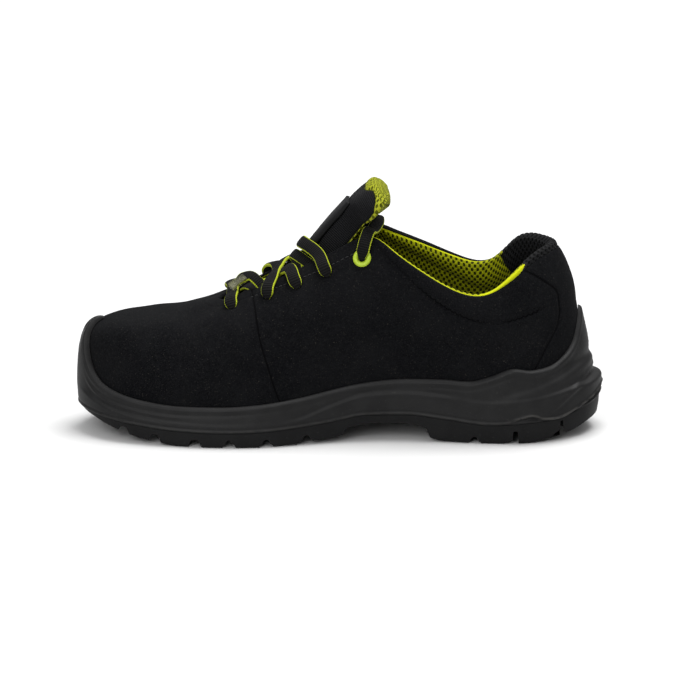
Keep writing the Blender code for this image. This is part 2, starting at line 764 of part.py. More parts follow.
lick_spots = np.arange(len(LICKS), dtype=float)
lick = {
    name: curve_through(lick_spots, np.array([getattr(row, name) for row in LICKS]))
    for name in ("x", "z", "half", "thick", "sag")
}


def tongue_frame(spot):
    """Middle of the tongue's front at a spot along it, and the direction its front faces."""
    step = 0.02
    spot = np.asarray(spot, float)
    middle = np.stack([lick["x"](spot) * ALONG, 0.0 * spot, lick["z"](spot) * UP], axis=-1)
    ahead_x = lick["x"](spot + step) - lick["x"](spot - step)
    ahead_z = lick["z"](spot + step) - lick["z"](spot - step)
    facing = unit(np.stack([ahead_z, 0.0 * spot, -ahead_x], axis=-1))
    return middle, facing


def tongue_point(spot, across, depth):
    """A point of the tongue: across runs from -1 to 1, depth from 0 at the front to 1 at the back."""
    middle, facing = tongue_frame(spot)
    side = np.array([0.0, 1.0, 0.0])
    half = lick["half"](spot) * ACROSS
    sag = lick["sag"](spot) * across**2
    thick = lick["thick"](spot) * (1.0 - TONGUE_EDGE_THIN * across**2)
    back = sag + thick * depth
    return middle + side * (half * across)[..., None] - facing * back[..., None]


def build_tongue():
    spots = np.linspace(0.0, len(LICKS) - 1.0, TONGUE_ROWS)
    across = np.linspace(-1.0, 1.0, 2 * TONGUE_SIDES + 1)
    rings = []
    for spot in spots:
        here = np.full_like(across, spot)
        front = tongue_point(here, across, 0.0 * across)
        back = tongue_point(here, across, 1.0 + 0.0 * across)[::-1]
        rings.append(np.concatenate([front, back]))
    count = len(rings[0])
    faces = ring_faces(len(rings), count, False)
    half = count // 2
    for start in (0, (len(rings) - 1) * count):
        for i in range(half - 1):
            faces.append((start + i, start + i + 1, start + count - i - 2, start + count - i - 1))
    return make_object("tongue", np.concatenate(rings), faces, TONGUE_CLOTH)


def build_label():
    """A bare raised patch on the front of the tongue."""
    spots = np.linspace(0.0, len(LICKS) - 1.0, TONGUE_ROWS)[LABEL_FIRST_ROW : LABEL_LAST_ROW + 1]
    share = 0.5 * LABEL_WIDTH
    rings = []
    for spot in spots:
        across = np.linspace(-1.0, 1.0, 7) * share / lick["half"](spot)
        here = np.full_like(across, spot)
        _, facing = tongue_frame(here)
        low = tongue_point(here, across, 0.0 * across) + facing * LABEL_LIFT
        rings.append(np.concatenate([low, (low + facing * LABEL_THICK)[::-1]]))
    count = len(rings[0])
    faces = ring_faces(len(rings), count, False)
    for start in (0, (len(rings) - 1) * count):
        for i in range(count // 2 - 1):
            faces.append((start + i, start + i + 1, start + count - i - 2, start + count - i - 1))
    return make_object("tongue_label", np.concatenate(rings), faces, LABEL_PLASTIC)


def build_eyelet(name, centre, axis):
    barrel = HOLE_RADIUS - GAP
    outline = (
        (EYELET_BORE, -WALL),
        (barrel, -WALL),
        (barrel, GAP + EYELET_SEAT),
        (EYELET_FLANGE, GAP + EYELET_SEAT),
        (EYELET_FLANGE - EYELET_LIP, GAP + 0.6 * EYELET_HEIGHT),
        (0.5 * (EYELET_FLANGE + EYELET_BORE), GAP + EYELET_HEIGHT),
        (EYELET_BORE + EYELET_LIP, GAP + 0.7 * EYELET_HEIGHT),
    )
    return lathe(name, centre, axis, outline, EYELET_PLASTIC, RING_SIDES)


def path_through(points, steps):
    """A smooth open path through a few points."""
    points = np.asarray(points, float)
    run = np.concatenate([[0.0], np.cumsum(np.linalg.norm(np.diff(points, axis=0), axis=1))])
    places = np.linspace(0.0, run[-1], steps)
    return np.stack([curve_through(run, points[:, k])(places) for k in range(3)], axis=-1)


def ribbon(name, path, faces_up, width, thick, look):
    """A flat oval lace swept along a path, its flat side square to faces_up."""
    rings = []
    ahead = unit(np.gradient(path, axis=0))
    across = unit(np.cross(ahead, faces_up))
    up = np.cross(across, ahead)
    for k in range(len(path)):
        ring = []
        for j in range(LACE_SIDES):
            angle = 2.0 * np.pi * (j + 0.5) / LACE_SIDES
            wide = 0.5 * width * np.cos(angle)
            high = 0.5 * thick * np.sin(angle)
            ring.append(path[k] + across[k] * wide + up[k] * high)
        rings.append(np.array(ring))
    faces = ring_faces(len(rings), LACE_SIDES, False)
    faces.append(tuple(range(LACE_SIDES)))
    last = (len(rings) - 1) * LACE_SIDES
    faces.append(tuple(range(last, last + LACE_SIDES)))
    return make_object(name, np.concatenate(rings), faces, look)


def edge_point(along, inner):
    """The edge of the opening at a distance along the shoe, on the eyestay."""
    place = EDGE_RIBS if inner else 2.0 * LAST_RIB - EDGE_RIBS
    points = steer(place)[:, 3:6]
    return points[int(np.argmin(np.abs(points[:, 0] - along)))]


def tongue_spot(along):
    fine = np.linspace(0.0, len(LICKS) - 1.0, 800)
    return float(fine[int(np.argmin(np.abs(lick["x"](fine) * ALONG - along)))])


def lace_bar(name, spots, start, end, middle_x, stand):
    """A bar from one lace hole, over both eyestay edges and the tongue, to a hole on the other side."""
    up = np.array([0.0, 0.0, 1.0])
    lift = 0.5 * LACE_THICK + LACE_LIFT
    (first, first_up), (last, last_up) = spots[0][start], spots[1][end]
    middle, facing = tongue_frame(np.array([tongue_spot(middle_x)]))
    middle = middle[0] + facing[0] * (lift + stand)
    near = edge_point(BAR_EDGE_SHARE * first[0] + (1.0 - BAR_EDGE_SHARE) * middle_x, True)
    far = edge_point(BAR_EDGE_SHARE * last[0] + (1.0 - BAR_EDGE_SHARE) * middle_x, False)
    near = near + unit(first_up + up) * (lift + BAR_EDGE_LIFT)
    far = far + unit(last_up + up) * (lift + BAR_EDGE_LIFT)
    start_point = first + first_up * (lift + BAR_HOLE_LIFT)
    end_point = last + last_up * (lift + BAR_HOLE_LIFT)
    path = path_through([start_point, near, middle, far, end_point], BAR_STEPS)
    weight = np.abs(np.linspace(-1.0, 1.0, len(path)))[:, None]
    side_up = np.where(path[:, 1:2] > 0.0, first_up[None], last_up[None])
    faces_up = unit(facing[0] * (1.0 - weight) + side_up * weight)
    return ribbon(name, path, faces_up, LACE_WIDTH, LACE_THICK, LACE_CLOTH)


def lace_loop(spots):
    """The middle of the lace: out of one top eyelet, over the collar, behind the tongue, into the other."""
    over = 0.5 * LACE_THICK + LACE_LIFT
    (first, first_up), (last, last_up) = spots[0][TOP_EYELET], spots[1][TOP_EYELET]
    seat = 0.5 * LACE_THICK + EYELET_HEIGHT + GAP + LOOP_SEAT
    knots = [first + first_up * seat]
    turns = []
    for inner, along in zip((True, False), LOOP_OVER_EDGES):
        crest = edge_point(along * ALONG, inner)
        turns.append(crest + np.array([LOOP_EDGE_BACK, 0.0, over + LOOP_EDGE_LIFT]))
    high = 0.5 * (turns[0][2] + turns[1][2]) - LOOP_DIP
    knots.append(turns[0])
    near_side, far_side = LOOP_SIDES
    knots.append(np.array([near_side[0] * ALONG, near_side[1] * ACROSS, high + LOOP_SIDE_LIFT]))
    knots.append(np.array([LOOP_BEHIND * ALONG, 0.0, high]))
    knots.append(np.array([far_side[0] * ALONG, far_side[1] * ACROSS, high + LOOP_SIDE_LIFT]))
    knots.append(turns[1])
    knots.append(last + last_up * seat)
    path = path_through(knots, LOOP_STEPS)
    weight = smooth((np.abs(path[:, 1:2]) - LOOP_TURN[0]) / LOOP_TURN[1])
    side_up = np.where(path[:, 1:2] > 0.0, first_up[None], last_up[None])
    faces_up = unit(np.array([LOOP_FACING]) * (1.0 - weight) + side_up * weight)
    ribbon("lace_loop", path, faces_up, LACE_WIDTH, LACE_THICK, LACE_CLOTH)


def build_laces(spots):
    lace_bar("lace_bar_low", spots, 0, 0, LOW_BAR_X, LACE_STAND)
    cross = lace_bar("lace_cross", spots, 1, 2, CROSS_X, LACE_STAND)
    combine(cross, lace_bar("crossing", spots, 2, 1, CROSS_X, LACE_STAND), "UNION")
    lace_bar("lace_bar_high", spots, 3, 3, HIGH_BAR_X, HIGH_BAR_STAND)
    lace_loop(spots)
    path = path_through([TIP_START, TIP_END], 3)
    ribbon("lace_tip", path, np.array([TIP_FACING] * 3), TIP_WIDTH, LACE_THICK, TIP_PLASTIC)


def main():
    clear_scene()
    upper = build_upper()
    spots = hole_spots()
    cut_holes(upper, spots)
    build_midsole()
    build_outsole()
    build_insole()
    build_tongue()
    build_label()
    build_eyelet("eyelet_inner", *spots[0][TOP_EYELET])
    build_eyelet("eyelet_outer", *spots[1][TOP_EYELET])
    build_laces(spots)


main()
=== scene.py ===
"""Looks of the low safety shoe: suede upper, air-mesh lining, ribbed tongue, two-tone lace and moulded sole.

The toe points along +X, the inner side of the foot along +Y and the top along +Z. Sizes are in millimetres
and become metres when a mesh is made. The tables of the last, the sole and the tongue follow those of the
solids, but for the slot at the back of the heel.
"""

import math
from collections import namedtuple

import bmesh
import bpy
import numpy as np
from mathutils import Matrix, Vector
from mathutils.kdtree import KDTree


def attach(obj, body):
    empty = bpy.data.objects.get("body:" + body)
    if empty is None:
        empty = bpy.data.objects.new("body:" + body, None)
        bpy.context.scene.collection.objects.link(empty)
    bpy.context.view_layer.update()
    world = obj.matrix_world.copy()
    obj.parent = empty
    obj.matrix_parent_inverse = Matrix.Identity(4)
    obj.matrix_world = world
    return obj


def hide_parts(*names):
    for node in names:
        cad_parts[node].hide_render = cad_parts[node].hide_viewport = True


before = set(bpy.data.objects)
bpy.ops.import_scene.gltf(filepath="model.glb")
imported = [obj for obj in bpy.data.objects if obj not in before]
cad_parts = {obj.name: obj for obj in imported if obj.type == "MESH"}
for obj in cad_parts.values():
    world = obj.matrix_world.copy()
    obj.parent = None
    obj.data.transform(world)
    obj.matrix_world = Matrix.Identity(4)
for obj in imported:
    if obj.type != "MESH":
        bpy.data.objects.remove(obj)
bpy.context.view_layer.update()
MM = 0.001
UP = np.array([0.0, 0.0, 1.0])
SIDEWAYS = np.array([0.0, 1.0, 0.0])
TURN = 2.0 * np.pi

# Camera at the photo's angle: the photo's size, its scale and the pixel of the frame's origin
PHOTO_SIZE = 674
PIXELS_PER_METRE = 1743.3
ORIGIN_U = 339.5
ORIGIN_V = 423.5
CAMERA_TILT = math.radians(16.0)
CAMERA_AWAY = 2.0

# Driving dimensions of the solids. Some of the lace, tip, eyelets and label are up to 1 mm off them here
WALL = 2.2
GAP = 0.35
CUP_GAP = 0.6
INSOLE_THICK = 4.0
COLLAR_PUFF = 1.3
COLLAR_PAD = 4.2
RIM_ROUND = 2.6
OUTSOLE_INSET = 0.5
GROOVE_SHIFT = 4.5
HOLE_RADIUS = 2.6
HOLE_BELOW_EDGE = 12.5
EYELET_FLANGE = 5.3
EYELET_BORE = 2.2
EYELET_HEIGHT = 1.3
LACE_WIDTH = 7.6
LACE_THICK = 3.0
LACE_LIFT = 0.6
LACE_STAND = 0.5
HIGH_BAR_STAND = 2.4
LOW_BAR_X = 60.5
CROSS_X = 34.0
HIGH_BAR_X = 18.4
LOOP_OVER_EDGES = (-15.6, -20.0)
LOOP_SIDES = ((-18.6, 11.0), (-22.2, -11.0))
LOOP_BEHIND = -20.8
LOOP_EDGE_BACK = -1.5
LOOP_EDGE_LIFT = 1.4
LOOP_DIP = 0.8
LOOP_SIDE_LIFT = 0.3
TIP_START = (62.5, 11.0, 84.35)
TIP_END = (54.5, 6.5, 89.35)
TIP_WIDTH = 6.6
LABEL_WIDTH = 15.0
LABEL_THICK = 1.3
LABEL_LIFT = 0.35


def table(kind, *values):
    """A table of named rows."""
    return tuple(kind(*row) for row in values)


# Ribs of the upper, from the foot edge inside the sole to the edge of the opening, heel to toe
Rib = namedtuple(
    "Rib", "foot_x foot_in foot_out foot_z top_x top_in top_out high_in high_out rise bulge drop reach"
)
RIBS = table(
    Rib,
    (-134.5, 5.0, 5.0, 27.0, -123.4, 5.0, 5.0, 109.4, 109.4, 28.0, 5.0, 24.0, 14.8),
    (-127.0, 25.5, -15.5, 27.0, -116.8, 19.0, -9.0, 108.4, 109.0, 26.0, 4.0, 24.0, 10.0),
    (-110.0, 37.5, -27.5, 27.0, -102.5, 30.0, -20.0, 99.6, 105.2, 24.0, 4.0, 20.0, 6.0),
    (-86.0, 39.0, -30.0, 26.5, -87.0, 35.5, -26.5, 87.6, 90.6, 22.0, 4.0, 18.0, 4.0),
    (-62.0, 37.0, -32.5, 25.0, -69.0, 35.5, -29.0, 87.5, 91.4, 22.0, 3.0, 18.0, 3.0),
    (-38.0, 34.5, -35.5, 23.0, -49.0, 32.5, -28.0, 97.9, 100.4, 26.0, 3.0, 20.0, 5.0),
    (-15.0, 35.0, -39.5, 21.0, -31.0, 25.0, -23.0, 109.3, 109.4, 32.0, 2.0, 22.0, 9.0),
    (5.0, 38.5, -43.5, 19.0, -17.0, 17.0, -16.5, 116.4, 115.0, 36.0, 2.0, 20.0, 13.0),
    (25.0, 43.0, -46.5, 17.0, 0.0, 15.0, -14.5, 109.0, 108.4, 36.0, 2.0, 16.0, 17.0),
    (47.0, 47.3, -48.0, 15.5, 20.0, 14.0, -13.5, 98.2, 97.7, 34.0, 2.0, 12.0, 20.0),
    (69.0, 47.7, -46.5, 15.0, 40.0, 12.5, -12.0, 88.2, 88.0, 34.0, 2.0, 9.0, 23.0),
    (92.0, 44.5, -42.0, 15.5, 56.0, 10.5, -10.0, 80.7, 80.5, 36.0, 2.0, 8.5, 26.0),
    (114.0, 37.5, -34.0, 17.0, 65.0, 7.5, -6.5, 76.6, 76.6, 42.0, 3.0, 11.2, 32.0),
    (132.0, 26.5, -18.5, 19.0, 68.5, 3.9, -2.9, 75.2, 75.2, 51.0, 5.0, 15.2, 44.0),
    (143.0, 5.0, 5.0, 20.5, 69.5, 0.5, 0.5, 74.9, 74.9, 62.5, 8.4, 18.6, 64.0),
)
LAST_RIB = len(RIBS) - 1
LOOP = 2.0 * LAST_RIB

# Side of the midsole by rib: the edge over the outsole, the ledge and the shelf above it
Side = namedtuple("Side", "rib edge_z edge_out ledge_z ledge_out shelf_out")
SIDES = table(
    Side,
    (0.0, 22.0, 15.4, 33.2, 14.8, 9.4), (0.5, 19.5, 14.0, 32.2, 13.4, 9.0),
    (1.0, 16.0, 10.5, 30.8, 10.2, 7.4), (1.5, 13.6, 8.0, 29.0, 8.2, 6.3),
    (2.0, 12.8, 6.5, 27.0, 6.8, 5.5), (3.0, 11.2, 5.0, 25.0, 5.3, 4.7),
    (4.0, 13.8, 4.2, 27.5, 4.5, 3.9), (5.0, 16.0, 3.8, 29.3, 4.1, 3.5), (6.0, 15.8, 3.8, 28.0, 4.1, 3.4),
    (7.0, 13.0, 4.2, 22.5, 4.3, 3.7), (8.0, 10.8, 4.8, 15.5, 4.8, 4.3), (9.0, 9.2, 5.0, 12.8, 5.1, 4.8),
    (10.0, 8.7, 5.0, 12.0, 5.2, 4.9), (11.0, 9.2, 5.0, 13.0, 5.2, 4.9), (12.0, 10.8, 5.4, 15.8, 5.6, 4.9),
    (13.0, 13.2, 6.2, 20.4, 6.5, 5.0), (14.0, 15.2, 6.7, 27.0, 6.8, 6.7),
)

# Rim of the midsole by rib: its height and how far it stands off the upper
Rim = namedtuple("Rim", "rib height off")
RIMS = table(
    Rim,
    (0.0, 72.4, 3.0), (0.3, 64.6, 3.4), (0.6, 55.0, 3.6), (1.0, 48.5, 3.5), (1.5, 44.0, 3.3),
    (2.0, 43.0, 3.2), (2.4, 44.4, 3.2), (3.0, 39.6, 3.2), (3.5, 36.6, 3.2), (4.2, 37.4, 3.2),
    (5.0, 37.2, 3.1), (6.0, 35.0, 3.0), (7.0, 31.6, 3.0), (8.0, 27.6, 3.0), (9.0, 24.8, 3.2),
    (10.0, 23.4, 3.2), (11.0, 23.2, 3.2),
    (12.0, 25.0, 3.4), (12.8, 28.4, 3.5), (13.15, 31.4, 3.8), (13.4, 36.0, 4.1), (13.56, 41.0, 4.3),
    (13.7, 47.2, 4.5), (13.82, 53.8, 4.5), (13.92, 60.2, 4.2), (14.0, 63.9, 3.6),
)

# Tread of the outsole by rib: its lowest edge and how far that stands off the foot edge
Tread = namedtuple("Tread", "rib low off")
TREADS = table(
    Tread,
    (0.0, 9.6, 13.2), (0.5, 8.4, 12.0), (1.0, 5.0, 9.0), (1.6, 1.9, 5.0), (2.0, 0.6, 4.4), (2.5, 0.0, 4.0),
    (3.0, 0.0, 3.6), (4.0, 0.8, 3.0), (4.4, 2.4, 2.8), (4.5, 8.0, 2.8), (5.0, 10.4, 2.6), (5.6, 11.0, 2.6),
    (6.2, 9.6, 2.6), (6.6, 7.6, 2.8), (6.7, 4.4, 2.8), (7.5, 2.2, 3.2), (8.3, 0.6, 3.6), (9.0, 0.0, 4.0),
    (10.8, 0.0, 4.0), (11.6, 1.8, 3.8), (12.4, 4.8, 3.4), (13.0, 7.8, 2.6), (14.0, 11.2, 1.0),
)

# Grooves between the lugs: place, width at the ground and at the bottom, depth, slant and the uncut middle
Groove = namedtuple("Groove", "x wide narrow depth slant middle")
GROOVES = table(
    Groove,
    (122.0, 6.6, 3.6, 4.0, 2.0, 0.0), (103.0, 7.4, 3.6, 4.6, 3.0, 0.0), (81.2, 8.4, 3.8, 4.4, 2.0, 0.0),
    (63.4, 8.8, 1.8, 4.6, 0.0, 0.0), (44.0, 8.8, 1.8, 4.6, -2.0, 0.0), (22.0, 8.6, 1.8, 4.4, -3.0, 0.0),
    (-77.4, 8.0, 1.8, 3.8, 0.0, 0.0), (-98.6, 10.4, 1.0, 1.9, 0.0, 0.0), (-101.0, 3.6, 2.4, 7.6, 0.0, 22.0),
    (-126.6, 6.0, 1.0, 1.6, 0.0, 0.0), (-127.5, 2.0, 1.4, 7.0, 0.0, 34.0),
)

# Channels along the middle of the tread: start, end, place across, width and depth
Channel = namedtuple("Channel", "start end across width depth")
CHANNELS = table(Channel, (10.0, 108.0, 1.0, 8.0, 3.2), (-120.0, -60.0, 4.5, 8.0, 3.2))

# Collar padding by rib: how far down it reaches and how full it is
Pad = namedtuple("Pad", "rib depth fill")
PADS = table(
    Pad,
    (0.0, 36.0, 1.0), (1.0, 36.0, 1.0), (2.0, 31.0, 1.0), (3.0, 19.0, 1.0), (4.0, 13.5, 1.0),
    (5.0, 11.0, 0.9), (6.0, 9.0, 0.6), (7.0, 8.0, 0.1), (7.5, 8.0, 0.0), (14.0, 8.0, 0.0),
)

# Tongue from its root to its top: middle of its front, half width, thickness and side sag
Lick = namedtuple("Lick", "x z half thick sag")
LICKS = table(
    Lick,
    (73.0, 69.4, 17.0, 3.2, 2.8), (62.0, 74.0, 20.0, 3.8, 3.8), (50.0, 79.8, 20.0, 4.4, 5.4),
    (34.5, 89.0, 17.0, 5.0, 9.5), (23.0, 100.5, 12.4, 6.0, 12.5), (13.5, 112.0, 12.2, 5.6, 14.2),
    (1.5, 126.2, 12.2, 7.6, 13.2), (-4.0, 132.0, 14.8, 10.0, 11.4), (-8.5, 136.4, 21.0, 13.4, 10.0),
    (-13.8, 140.8, 23.0, 16.2, 8.0), (-18.6, 144.0, 20.0, 16.0, 6.0),
)
LAST_LICK = len(LICKS) - 1

# Lace holes on each eyestay, from the toe to the top
EYELETS = (61.5, 41.0, 24.4, 7.2, -13.0)
TOP_EYELET = 4

# Start of the lining by rib, past the outer edge of the collar; below zero it rolls out over the outside
Strip = namedtuple("Strip", "rib inner outer")
STRIPS = table(
    Strip,
    (0.0, -2.6, -2.6), (1.0, -2.6, -2.6), (1.7, -2.4, -2.2), (2.1, -2.2, -1.2), (2.6, -0.8, 0.8),
    (3.2, 0.6, 2.2), (4.0, 1.2, 3.8), (5.0, 1.3, 4.8), (6.0, 1.2, 4.8), (7.4, 0.9, 3.0),
)
THROAT_TUCK = 0.9
HEEL_TAB_INNER = 1.93
HEEL_TAB_OUTER = 2.75
HEEL_TAB_LEAN = 0.02
TAB_ROUND = 0.12
TAB_ROUND_RUN = 2.4
TAB_BLEND = 0.14
EDGE_RISE = 0.45
EDGE_ARC = 2.4
EDGE_DEPTH = 2.0
PAD_START = 0.18

# Seams of the upper, by rib and share of the rib's length from the foot edge up
Stop = namedtuple("Stop", "rib rise")
VAMP_SEAM = table(
    Stop, (10.62, 0.99), (10.49, 0.92), (10.04, 0.725), (9.49, 0.495), (9.0, 0.31), (8.45, 0.085),
    (8.25, 0.01),
)
COLLAR_LINE = table(
    Stop,
    (6.95, 0.97), (6.57, 0.955), (5.76, 0.93), (5.02, 0.88), (4.24, 0.83), (3.65, 0.79), (2.8, 0.71),
    (2.12, 0.65), (1.62, 0.635), (1.3, 0.645),
)
HEEL_SEAM = table(
    Stop,
    (1.9, 1.0), (1.82, 0.975), (1.26, 0.81), (0.92, 0.685), (0.93, 0.58), (1.05, 0.485), (1.29, 0.41),
    (1.48, 0.355), (1.76, 0.26), (2.1, 0.12),
)

# Laps of the panels: height at the seam, where and over how long it rises, how far it fades, and its groove
Lap = namedtuple("Lap", "lift start span fade groove place width")
VAMP_LAP = Lap(0.75, 0.4, 1.1, 18.0, 0.5, 0.6, 0.9)
HEEL_LAP = Lap(0.4, 0.3, 1.2, 22.0, 0.45, 0.3, 0.8)

# Dark lines of the lapped seams: the signed distance they follow, their middle, half width and darkness
Dark = namedtuple("Dark", "gap middle half share")
DARK_SEAMS = table(Dark, ("vamp_gap", 0.35, 0.8, 1.0), ("heel_gap", 0.1, 0.7, 0.8))
DARK_CORE = 0.3
THREAD_PLACE = 0.35
THREAD_EDGES = (0.1, 0.62)

# Lines moulded in the heel of the midsole, by rib and height
Line = namedtuple("Line", "rib height")
HEEL_FOLD = table(Line, (0.0, 44.0), (0.5, 42.5), (1.05, 38.8), (1.5, 35.7), (2.1, 31.4), (3.0, 26.6))
HEEL_CREASE = table(Line, (0.0, 45.5), (0.4, 44.6), (0.9, 43.6), (1.45, 44.1), (1.8, 45.0))
KICK_RIDGE = table(Line, (0.0, 38.0), (0.3, 36.5), (0.7, 33.5), (1.05, 28.6), (1.5, 21.0), (1.7, 18.0))
HEEL_LIP = table(
    Line,
    (0.0, 28.0), (0.2, 26.5), (1.05, 17.8), (1.5, 14.6), (1.75, 14.9), (2.05, 17.2), (2.3, 15.6), (2.7, 12.8),
)

# Ridges and hollows moulded along such lines: height, place across the line and width
Mould = namedtuple("Mould", "height place width")
RIM_BEAD = table(Mould, (0.32, 2.2, 1.4), (-0.224, 4.6, 1.0))
FRONT_BEAD = table(Mould, (0.42, 6.2, 0.9), (-0.3, 8.2, 1.0))
EDGE_BEAD = table(Mould, (0.4, 1.0, 0.55), (-0.3, 2.3, 0.7))
LEDGE_BEAD = table(Mould, (0.25, -0.6, 1.3), (-0.3, 1.6, 1.2))
FOLD_HOLLOW = table(Mould, (-0.5, 3.2, 3.0))
CREASE_HOLLOW = table(Mould, (-0.3, 0.0, 2.2))
RIDGE_BEAD = table(Mould, (0.45, 0.0, 1.4), (-0.3, -2.6, 1.5))
LIP_BEAD = table(Mould, (0.85, 0.0, 0.75), (-0.8, -1.7, 1.0))
# The last two are not relief: they place a painted highlight along the lip and the edge ridges
LIP_PAINTED_HIGHLIGHT = table(Mould, (1.0, 0.1, 0.6))
EDGE_PAINTED_HIGHLIGHT = table(Mould, (0.35, 1.1, 0.45))

# Stretches of the shoe by rib: where a feature starts, over how long, and where it ends, over how long
Stretch = namedtuple("Stretch", "start rise end fall", defaults=(99.0, 1.0))
FROM_HEEL = (-99.0, 1.0)
THROAT = Stretch(7.2, 0.5)
STAY = Stretch(6.7, 0.4)
COLLAR_FINE = Stretch(0.6, 0.3, 6.8, 0.4)
LINING_COARSE = Stretch(7.2, 0.6)
COLLAR = Stretch(*FROM_HEEL, 7.6, 0.5)
ROLLED_OUT = Stretch(*FROM_HEEL, 3.6, 0.8)
CREASED = Stretch(2.4, 0.8)
FLANK = Stretch(0.5, 0.5, 13.66, 0.4)
FRONT = Stretch(10.6, 1.2)
SHANK = Stretch(3.6, 0.8, 8.6, 0.8)
LOW_HEEL = Stretch(*FROM_HEEL, 3.0, 0.7)
HEEL_BACK = Stretch(*FROM_HEEL, 1.8, 0.5)
LIPPED = Stretch(*FROM_HEEL, 2.7, 0.4)
CUP_RIBBED = Stretch(*FROM_HEEL, 0.75, 0.3)
RIM_DIP = Stretch(0.4, 0.5, 13.4, 0.5)
TOE_FINE = Stretch(12.8, 0.5)


def unit(vectors):
    return vectors / np.maximum(np.linalg.norm(vectors, axis=-1, keepdims=True), 1e-9)


def smooth(share):
    share = np.clip(share, 0.0, 1.0)
    return share * share * (3.0 - 2.0 * share)


def bell(gap, width):
    return np.exp(-((gap / width) ** 2))


def power(value, exponent):
    return np.sign(value) * np.abs(value) ** exponent


def within(rib, stretch):
    return smooth((rib - stretch.start) / stretch.rise) * smooth((stretch.end - rib) / stretch.fall)


def moulded(gap, moulds):
    return sum(mould.height * bell(gap - mould.place, mould.width) for mould in moulds)


def run_along(points):
    """Lengths along a line of points."""
    return np.concatenate([[0.0], np.cumsum(np.linalg.norm(np.diff(points, axis=0), axis=-1))])


def hermite(values, slopes, k, gap, share):
    """A cubic between neighbours k and k + 1 that keeps their values and slopes."""
    rest = 1.0 - share
    return (
        values[k] * rest * rest * (1.0 + 2.0 * share)
        + values[k + 1] * share * share * (3.0 - 2.0 * share)
        + slopes[k] * gap * share * rest * rest
        - slopes[k + 1] * gap * share * share * rest
    )


def curve(rows, column):
    """A smooth curve through one column of a table, with no overshoot, by place along the first column."""
    spots = np.array([row[0] for row in rows], float)
    return curve_through(spots, np.array([getattr(row, column) for row in rows], float))


def curve_through(spots, values):
    gaps = np.diff(spots)
    slopes = np.diff(values) / gaps
    ends = np.zeros(len(spots))
    for k in range(1, len(spots) - 1):
        if slopes[k - 1] * slopes[k] > 0.0:
            before = 2.0 * gaps[k] + gaps[k - 1]
            after = gaps[k] + 2.0 * gaps[k - 1]
            ends[k] = (before + after) / (before / slopes[k - 1] + after / slopes[k])

    def at(place):
        place = np.clip(np.asarray(place, float), spots[0], spots[-1])
        k = np.clip(np.searchsorted(spots, place, side="right") - 1, 0, len(spots) - 2)
        return hermite(values, ends, k, gaps[k], (place - spots[k]) / gaps[k])

    return at


def path_through(points, step):
    """A smooth open path through a few points, with a point at every step."""
    points = np.asarray(points, float)
    run = run_along(points)
    slopes = np.gradient(points, run, axis=0)
    places = np.linspace(0.0, run[-1], max(int(run[-1] / step), 8))
    k = np.clip(np.searchsorted(run, places, side="right") - 1, 0, len(run) - 2)
    gap = (run[k + 1] - run[k])[:, None]
    return hermite(points, slopes, k, gap, (places - run[k])[:, None] / gap)


def spline_loop(nodes):
    """A closed cubic spline through the nodes, one unit of place from each to the next."""
    nodes = np.asarray(nodes, float)
    count = len(nodes)
    matrix = 4.0 * np.eye(count) + np.roll(np.eye(count), 1, 0) + np.roll(np.eye(count), -1, 0)
    control = np.linalg.solve(matrix / 6.0, nodes)

    def at(place):
        place = np.asarray(place, float)
        start = np.floor(place).astype(int)
        on = place - start
        shares = ((1 - on) ** 3, 3 * on**3 - 6 * on**2 + 4, -3 * on**3 + 3 * on**2 + 3 * on + 1, on**3)
        total = 0.0
        for k, share in enumerate(shares):
            total = total + share[..., None] * control[(start + k - 1) % count]
        return total / 6.0

    return at


def rib_nodes():
    """Steering values for each rib of the inner side, then of the outer side back to the heel."""
    nodes = [
        (rib.foot_x, rib.foot_in, rib.foot_z, rib.top_x, rib.top_in, rib.high_in, *rib[-4:]) for rib in RIBS
    ]
    for rib in RIBS[-2:0:-1]:
        nodes.append((rib.foot_x, rib.foot_out, rib.foot_z, rib.top_x, rib.top_out, rib.high_out, *rib[-4:]))
    return nodes


steer = spline_loop(rib_nodes())
TURN_STEP = 0.01
FACE_STEP = 1e-3
RIB_SAMPLES = 91
HALVINGS = 30
ROUND_SAMPLES = 5601
HALF_WAY_UP = 0.55


def foot_edge(place):
    return steer(place)[..., 0:3]


def top_edge(place):
    return steer(place)[..., 3:6]


def rib_place(place):
    """Place along the ribs, 0 at the heel and LAST_RIB at the toe, on either side."""
    place = np.mod(np.asarray(place, float), LOOP)
    return np.where(place > LAST_RIB, LOOP - place, place)


def on_side(rib, inner):
    """Place round the shoe of a rib on its inner or its outer side."""
    return rib if inner else LOOP - rib


def on_inner_side(place):
    return np.mod(place, LOOP) <= LAST_RIB


def outward(place):
    ahead = foot_edge(place + TURN_STEP) - foot_edge(place - TURN_STEP)
    return unit(np.stack([-ahead[..., 1], ahead[..., 0], np.zeros_like(ahead[..., 0])], axis=-1))


def skin(place, share):
    """A point of the upper's plain outer face: place round the shoe, share of the way up the rib's curve."""
    foot, top = foot_edge(place), top_edge(place)
    rise, bulge, drop, reach = np.moveaxis(steer(place)[..., 6:10, None], -2, 0)
    away = outward(place)
    low = foot + UP * rise + away * bulge
    high = top - UP * drop + away * reach
    share = np.asarray(share, float)[..., None]
    rest = 1.0 - share
    return foot * rest**3 + low * (3.0 * share * rest**2) + high * (3.0 * share**2 * rest) + top * share**3


def skin_normal(place, share):
    share = np.clip(share, FACE_STEP, 1.0 - FACE_STEP)
    along = skin(place + FACE_STEP, share) - skin(place - FACE_STEP, share)
    up = skin(place, share + FACE_STEP) - skin(place, share - FACE_STEP)
    return unit(np.cross(up, along))


